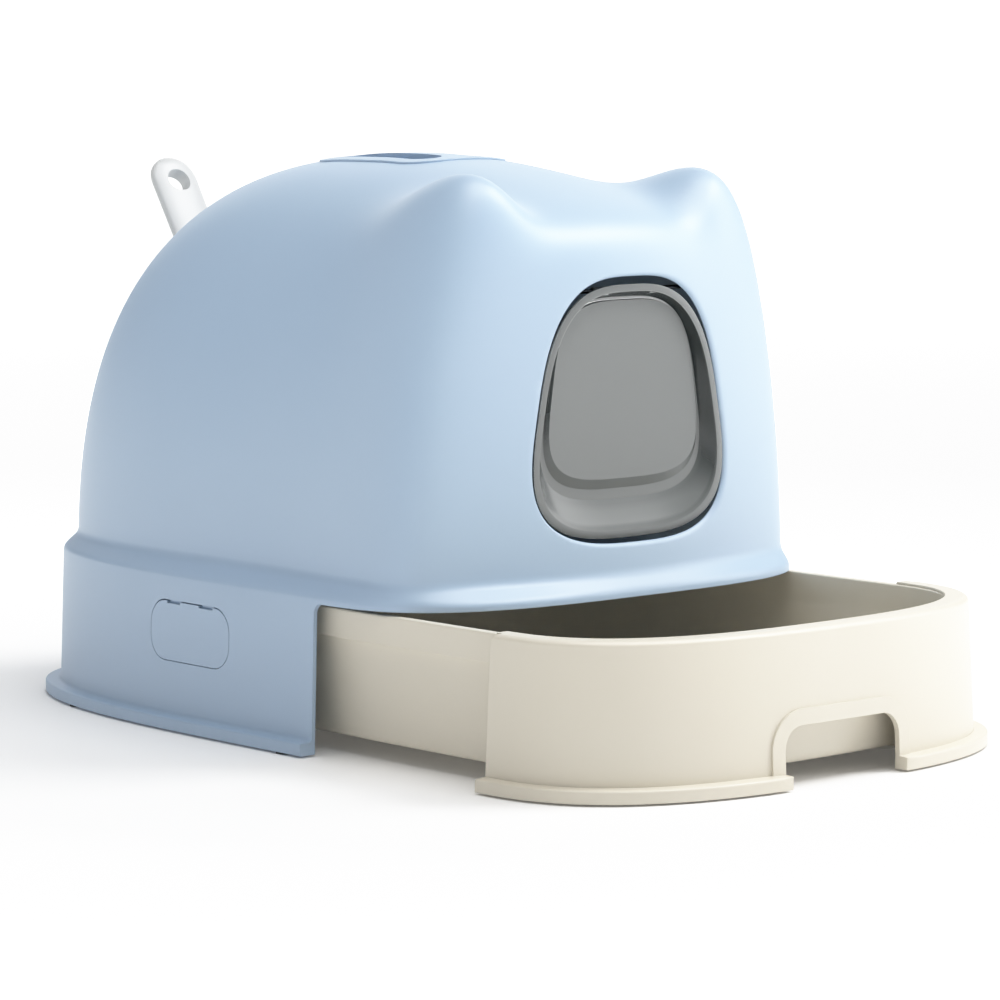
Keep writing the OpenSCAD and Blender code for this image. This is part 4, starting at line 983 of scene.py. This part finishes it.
def latch_piece(side):
    """Oval plate cut out of the skirt's own curve, with two slits for the hood's lugs and the hook behind."""
    skin = turned_skin("band", [skirt_wall(t) for t in (0, 0.25, 0.5, 0.75, 1)])
    core = turned_skin("core", [skirt_wall(t, WALL) for t in (-0.01, 0.25, 0.5, 0.75, 1.01)])
    at = latch_frame()
    plate = meet(cut(skin, core), moved(latch_outline(0, -12, 12), at))
    # the hook ends just short of the pan's wall, under its band
    pan_wall = (TRAY_W + TRAY_WALL + HOOK_CLEAR) * (
        1 - (LATCH_Y / (TRAY_L + TRAY_WALL)) ** TRAY_ROUND) ** (1 / TRAY_ROUND)
    reach = skirt_x(LATCH_Y, FLANGE_OUT + 1.57) - LATCH_SUNK - WALL - pan_wall
    z, half = TRAY_H - BAND_H - FIT - 3.5 - LATCH_Z, 9
    hook = hull_of("hook", box_points((-WALL - reach, -half, z + 0.4), (-WALL + 1, half, z + 3.1))
                   + box_points((-WALL - 0.5, -half, z - 8), (-WALL + 0.5, half, z + 2.5)))
    backs, tools, room, top = [hook], [], LUG_R + LUG_PLAY, LATCH_H / 2
    for y in (-PIN_Y, PIN_Y):
        y0, y1 = y - SLIT_LEN / 2, y + SLIT_LEN / 2
        backs.append(hull_of("back", box_points(
            (-WALL - PLATE_BACK, y - PIN_LEN / 2 - 1, PIN_Z - PIN_D - PLATE_BACK),
            (-WALL + 0.6, y + PIN_LEN / 2 + 1, top - 0.05))))
        tools.append(latch_pin(PIN_D + 2 * RUN, PIN_LEN + 2, y))
        tools.append(hull_of("room", box_points((-WALL - PLATE_BACK - 1, y0, PIN_Z - room),
                                                (-PLATE_SKIN, y1, top + 1))))
        tools.append(hull_of("slit", box_points((-WALL - 1, y0, top - SLIT_DEEP), (3, y1, top + 1.5))))
    for back in backs:
        join(plate, moved(back, at))
    for tool in tools:
        cut(plate, moved(tool, at))
    if side == "right":
        moved(plate, Matrix.Scale(-1, 4, (1, 0, 0)))
    return finished(plate, f"latch_plate_{side}", blue_pp, f"latch_{side}", [f"side_latch_{side}"])


# ---------------------------------------------------------------- scoop

def scoop_piece():
    """Flat handle with a round end and a hanging hole, shoulders, and a blade with sifting slots."""
    r, top = HANDLE_W / 2 + FULL_W, HANDLE_LEN + FULL_END
    root, waist, end_soft, power = -6, 1.2, 9, 2.5
    a = np.arange(72) * 2 * np.pi / 72
    rings = []
    for t in np.linspace(0, 1, 60):
        # rings stand closer together towards the end
        z = root + (top - root) * (1 - (1 - t) ** 1.6)
        w = r - waist * max(0, (top - r - z) / (top - r))
        if z > top - r:
            w = math.sqrt(max(r ** 2 - (z - top + r) ** 2, 0.01))
        near_end = 1 - min(1, max(top - z, 0.02) / end_soft)
        thick = (HANDLE_T / 2 + FULL_T) * math.sqrt(1 - near_end ** 2)
        x = w * np.sign(np.cos(a)) * np.abs(np.cos(a)) ** (2 / power)
        y = thick * np.sign(np.sin(a)) * np.abs(np.sin(a)) ** (2 / power)
        rings.append(np.stack([x, y, np.full(len(a), z)], 1))
    handle = turned_skin("handle", rings[::-1], np.array([0, 0, top]))
    shoulders = hull_of("shoulders", box_points((-15.5, -5, 0), (15.5, 5, 2))
                        + box_points((-39, -8, -19), (39, 8, -17)))
    wall, blade_top, slot_w = 2.2, -8, 4.6

    def blade(grow, z1, z0):
        w, d = BLADE_W / 2 + grow - BLADE_CORNER, BLADE_DEEP / 2 + grow - BLADE_CORNER
        return hull_of("blade", [p for x in (-w, w) for y in (-d, d) for z in (z0, z1)
                                 for p in disc_points((x, y, z), BLADE_CORNER, "z", 48)])
    hollow = moved(blade(-wall, blade_top - wall, -BLADE_LEN - 5), Matrix.Translation((0, -4.2, 0)))
    join(handle, shoulders, cut(blade(0, blade_top, -BLADE_LEN), hollow))
    hole = hull_of("hole", [p for y in (-20, 20) for x in (-1, 1)
                            for p in disc_points((x, y, HANDLE_LEN - 20), 9, "y", 64)])
    slots = slot_row("sifting_slots", count=7, pitch=10, width=slot_w,
                     length=BLADE_LEN - 58 + slot_w, depth=30)
    cut(handle, hole, moved(slots, Matrix.Translation((0, 15, -(42 + BLADE_LEN - 16) / 2))
                            @ Matrix.Rotation(math.pi / 2, 4, "X")))
    moved(handle, scoop_frame())
    return finished(handle, "litter_scoop", white_pp, "scoop", ["scoop"])


# ---------------------------------------------------------------- what repeats, by geometry nodes

def node_tree(name, inputs):
    """An empty tree with these named inputs, and its input and output nodes."""
    tree = bpy.data.node_groups.new(name, "GeometryNodeTree")
    tree.interface.new_socket("Geometry", in_out="OUTPUT", socket_type="NodeSocketGeometry")
    for label, kind in inputs:
        tree.interface.new_socket(label, in_out="INPUT", socket_type=kind)
    return tree, tree.nodes.new("NodeGroupInput"), tree.nodes.new("NodeGroupOutput")


def grown(name, tree, values):
    """Mesh made by a tree with these input values."""
    made = mesh_object(name, [], [])
    step = made.modifiers.new("nodes", "NODES")
    step.node_group = tree
    for item in tree.interface.items_tree:
        if item.in_out == "INPUT" and item.name in values:
            step[item.identifier] = values[item.name]
    seen = bpy.context.evaluated_depsgraph_get()
    mesh = bpy.data.meshes.new_from_object(made.evaluated_get(seen))
    made.modifiers.clear()
    made.data = mesh
    return made


def slot_tree():
    """A row of round-ended slots along x, each a solid that stands on z."""
    sizes = [(label, "NodeSocketFloat") for label in ("Pitch", "Width", "Length", "Depth")]
    tree, given, out = node_tree("slot_row", [("Count", "NodeSocketInt")] + sizes
                                 + [("Finish", "NodeSocketMaterial")])
    # a shade under half the width, so that the two round ends don't meet in a point
    half = add_node(tree, "ShaderNodeMath", {0: given.outputs["Width"], 1: 0.499}, operation="MULTIPLY")
    shape = add_node(tree, "GeometryNodeCurvePrimitiveQuadrilateral",
                     {"Width": given.outputs["Width"], "Height": given.outputs["Length"]})
    rounded = add_node(tree, "GeometryNodeFilletCurve", {"Curve": shape.outputs["Curve"], "Count": 8,
                                                         "Radius": half.outputs["Value"]}, mode="POLY")
    face = add_node(tree, "GeometryNodeFillCurve", {"Curve": rounded.outputs["Curve"]}, mode="NGONS")
    tall = add_node(tree, "GeometryNodeExtrudeMesh", {"Mesh": face.outputs["Mesh"],
                                                      "Offset Scale": given.outputs["Depth"]}, mode="FACES")
    under = add_node(tree, "GeometryNodeFlipFaces", {"Mesh": face.outputs["Mesh"]})
    whole = add_node(tree, "GeometryNodeJoinGeometry", {"Geometry": tall.outputs["Mesh"]})
    tree.links.new(under.outputs["Mesh"], whole.inputs["Geometry"])
    tight = add_node(tree, "GeometryNodeMergeByDistance", {
        "Geometry": whole.outputs["Geometry"], "Distance": 0.001})
    step = add_node(tree, "ShaderNodeCombineXYZ", {"X": given.outputs["Pitch"]})
    # the row starts half its length before the middle
    less = add_node(tree, "ShaderNodeMath", {0: given.outputs["Count"], 1: 1.0}, operation="SUBTRACT")
    span = add_node(tree, "ShaderNodeMath", {
        0: less.outputs["Value"], 1: given.outputs["Pitch"]}, operation="MULTIPLY")
    back = add_node(tree, "ShaderNodeMath", {0: span.outputs["Value"], 1: -0.5}, operation="MULTIPLY")
    start = add_node(tree, "ShaderNodeCombineXYZ", {"X": back.outputs["Value"]})
    row = add_node(tree, "GeometryNodeMeshLine", {
        "Count": given.outputs["Count"], "Offset": step.outputs["Vector"],
        "Start Location": start.outputs["Vector"]})
    copies = add_node(tree, "GeometryNodeInstanceOnPoints", {"Points": row.outputs["Mesh"],
                                                             "Instance": tight.outputs["Geometry"]})
    real = add_node(tree, "GeometryNodeRealizeInstances", {"Geometry": copies.outputs["Instances"]})
    dressed = add_node(tree, "GeometryNodeSetMaterial", {"Geometry": real.outputs["Geometry"],
                                                         "Material": given.outputs["Finish"]})
    tree.links.new(dressed.outputs["Geometry"], out.inputs["Geometry"])
    return tree


SLOT_TREE = slot_tree()


def slot_row(name, count, pitch, width, length, depth):
    """Cutting tool for a row of slots, its middle at the origin."""
    made = grown(name, SLOT_TREE, {"Count": count, "Pitch": float(pitch), "Width": float(width),
                                   "Length": float(length), "Depth": float(depth), "Finish": steel})
    return moved(made, Matrix.Translation((0, 0, -depth / 2)))


hood_piece()
carry_handle_piece()
scoop_holder_piece()
door_piece()
litter_tray_piece()
drawer_front_piece()
latch_piece("left")
latch_piece("right")
scoop_piece()

# small hard parts are shown as the frame holds them, each with its finish
for finish, nodes in ((black_steel, ("door_rod",)),
                      (steel, ("bracket_screws", "holder_screws", "latch_pins")),
                      (blue_pp, ("hinge_bracket_left", "hinge_bracket_right")),
                      (grey_tpe, ("rod_caps", "anti_slip_feet")),
                      (white_pom, ("tray_glides", "front_clips"))):
    for node in nodes:
        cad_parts[node].data.materials.clear()
        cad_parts[node].data.materials.append(finish)


# ---------------------------------------------------------------- stage, light and camera

STAGE_R = 6                             # metres, as all lengths from here on
CAMERA_TURN, CAMERA_RISE = math.radians(-42.01), math.radians(6.31)
CAMERA_FAR = 2.64256
AIM_SIDE, AIM_ALONG, AIM_UP = -0.33627, -0.52447, 0.19921
LENS_MM, SENSOR_MM = 152.80452, 36


def studio_floor():
    """Matt white paint that glows as painted light, faintly near the middle and brightly far out, so that it
    runs into the white of the room.
    """
    paint = new_material("studio_floor_white_paint")
    tree = paint.node_tree
    place = add_node(tree, "ShaderNodeTexCoord").outputs["Object"]
    away = add_node(tree, "ShaderNodeVectorMath", {0: place}, operation="LENGTH")
    # painted light: the floor's own glow, 0.05 near the middle rising to 1.5 far out
    glow = add_node(tree, "ShaderNodeMapRange", {
        "Value": away.outputs["Value"], "From Min": 0.5, "From Max": 1.8, "To Min": 0.05, "To Max": 1.5})
    shader = add_node(tree, "ShaderNodeBsdfPrincipled", {
        "Base Color": linear("#F8F8F8"), "Roughness": 0.7, "Emission Color": linear("#FFFFFF"),
        "Emission Strength": glow.outputs["Result"]})
    add_node(tree, "ShaderNodeOutputMaterial", {"Surface": shader.outputs["BSDF"]})
    floor = hull_of("floor", disc_points((0, 0, 0), STAGE_R, "z", 96)
                    + disc_points((0, 0, -0.01), STAGE_R, "z", 96))
    floor.data.materials.append(paint)


def softbox(name, at, aim, size, watts):
    data = bpy.data.lights.new(name, "AREA")
    data.shape, data.size, data.size_y = "RECTANGLE", *size
    data.energy = watts
    made = new_object(name, data)
    made.location = at
    made.rotation_euler = (Vector(aim) - Vector(at)).to_track_quat("-Z", "Y").to_euler()


def studio_room():
    """White from just above the floor downwards, dimmer above."""
    world = bpy.data.worlds.new("studio")
    bpy.context.scene.world = world
    world.use_nodes = True
    tree = world.node_tree
    tree.nodes.clear()
    way = add_node(tree, "ShaderNodeTexCoord").outputs["Generated"]
    rise = add_node(tree, "ShaderNodeSeparateXYZ", {"Vector": way}).outputs["Z"]
    power = add_node(tree, "ShaderNodeMapRange", {
        "Value": rise, "From Min": 0.03, "From Max": 0.08, "To Min": 1.6, "To Max": 0.21})
    glow = add_node(tree, "ShaderNodeBackground", {
        "Color": linear("#FFFFFF"), "Strength": power.outputs["Result"]})
    add_node(tree, "ShaderNodeOutputWorld", {"Surface": glow.outputs["Background"]})


def film():
    """A soft shoulder: what is brighter than mid grey is held back towards white, as film does."""
    view = bpy.context.scene.view_settings
    view.view_transform = "Standard"
    view.use_curve_mapping = True
    shoulder = view.curve_mapping
    shoulder.clip_max_x, shoulder.clip_max_y = 2, 2
    line = shoulder.curves[3]
    # the end goes first, so that the points between are not past it
    line.points[1].location = (2, 1)
    for light, level in ((0.35, 0.35), (0.7, 0.69), (0.95, 0.88), (1.15, 0.97), (1.4, 0.999)):
        line.points.new(light, level)
    shoulder.update()


def camera():
    data = bpy.data.cameras.new("camera")
    data.lens, data.sensor_width = LENS_MM, SENSOR_MM
    data.clip_start, data.clip_end = 0.1, 100
    made = new_object("camera", data)
    back = Vector((math.sin(CAMERA_TURN) * math.cos(CAMERA_RISE),
                   -math.cos(CAMERA_TURN) * math.cos(CAMERA_RISE), math.sin(CAMERA_RISE)))
    right = Vector((math.cos(CAMERA_TURN), math.sin(CAMERA_TURN), 0))
    aim = right * AIM_SIDE + Vector((0, AIM_ALONG, AIM_UP))
    made.location = aim + back * CAMERA_FAR
    made.rotation_euler = (-back).to_track_quat("-Z", "Y").to_euler()
    bpy.context.scene.camera = made


studio_floor()
softbox("key", (3.1, -1.8, 1.4), (0, -0.1, 0.3), (1.8, 2.2), 46)
softbox("brow", (1.9, -1.3, 2.9), (0, -0.1, 0.25), (1.4, 1.4), 70)
softbox("top", (-0.1, -0.7, 3.1), (0, -0.2, 0.1), (2.4, 2.4), 72)
softbox("back", (1.9, 2.3, 1.6), (0, 0, 0.2), (3.6, 1.7), 26)
studio_room()
film()
camera()
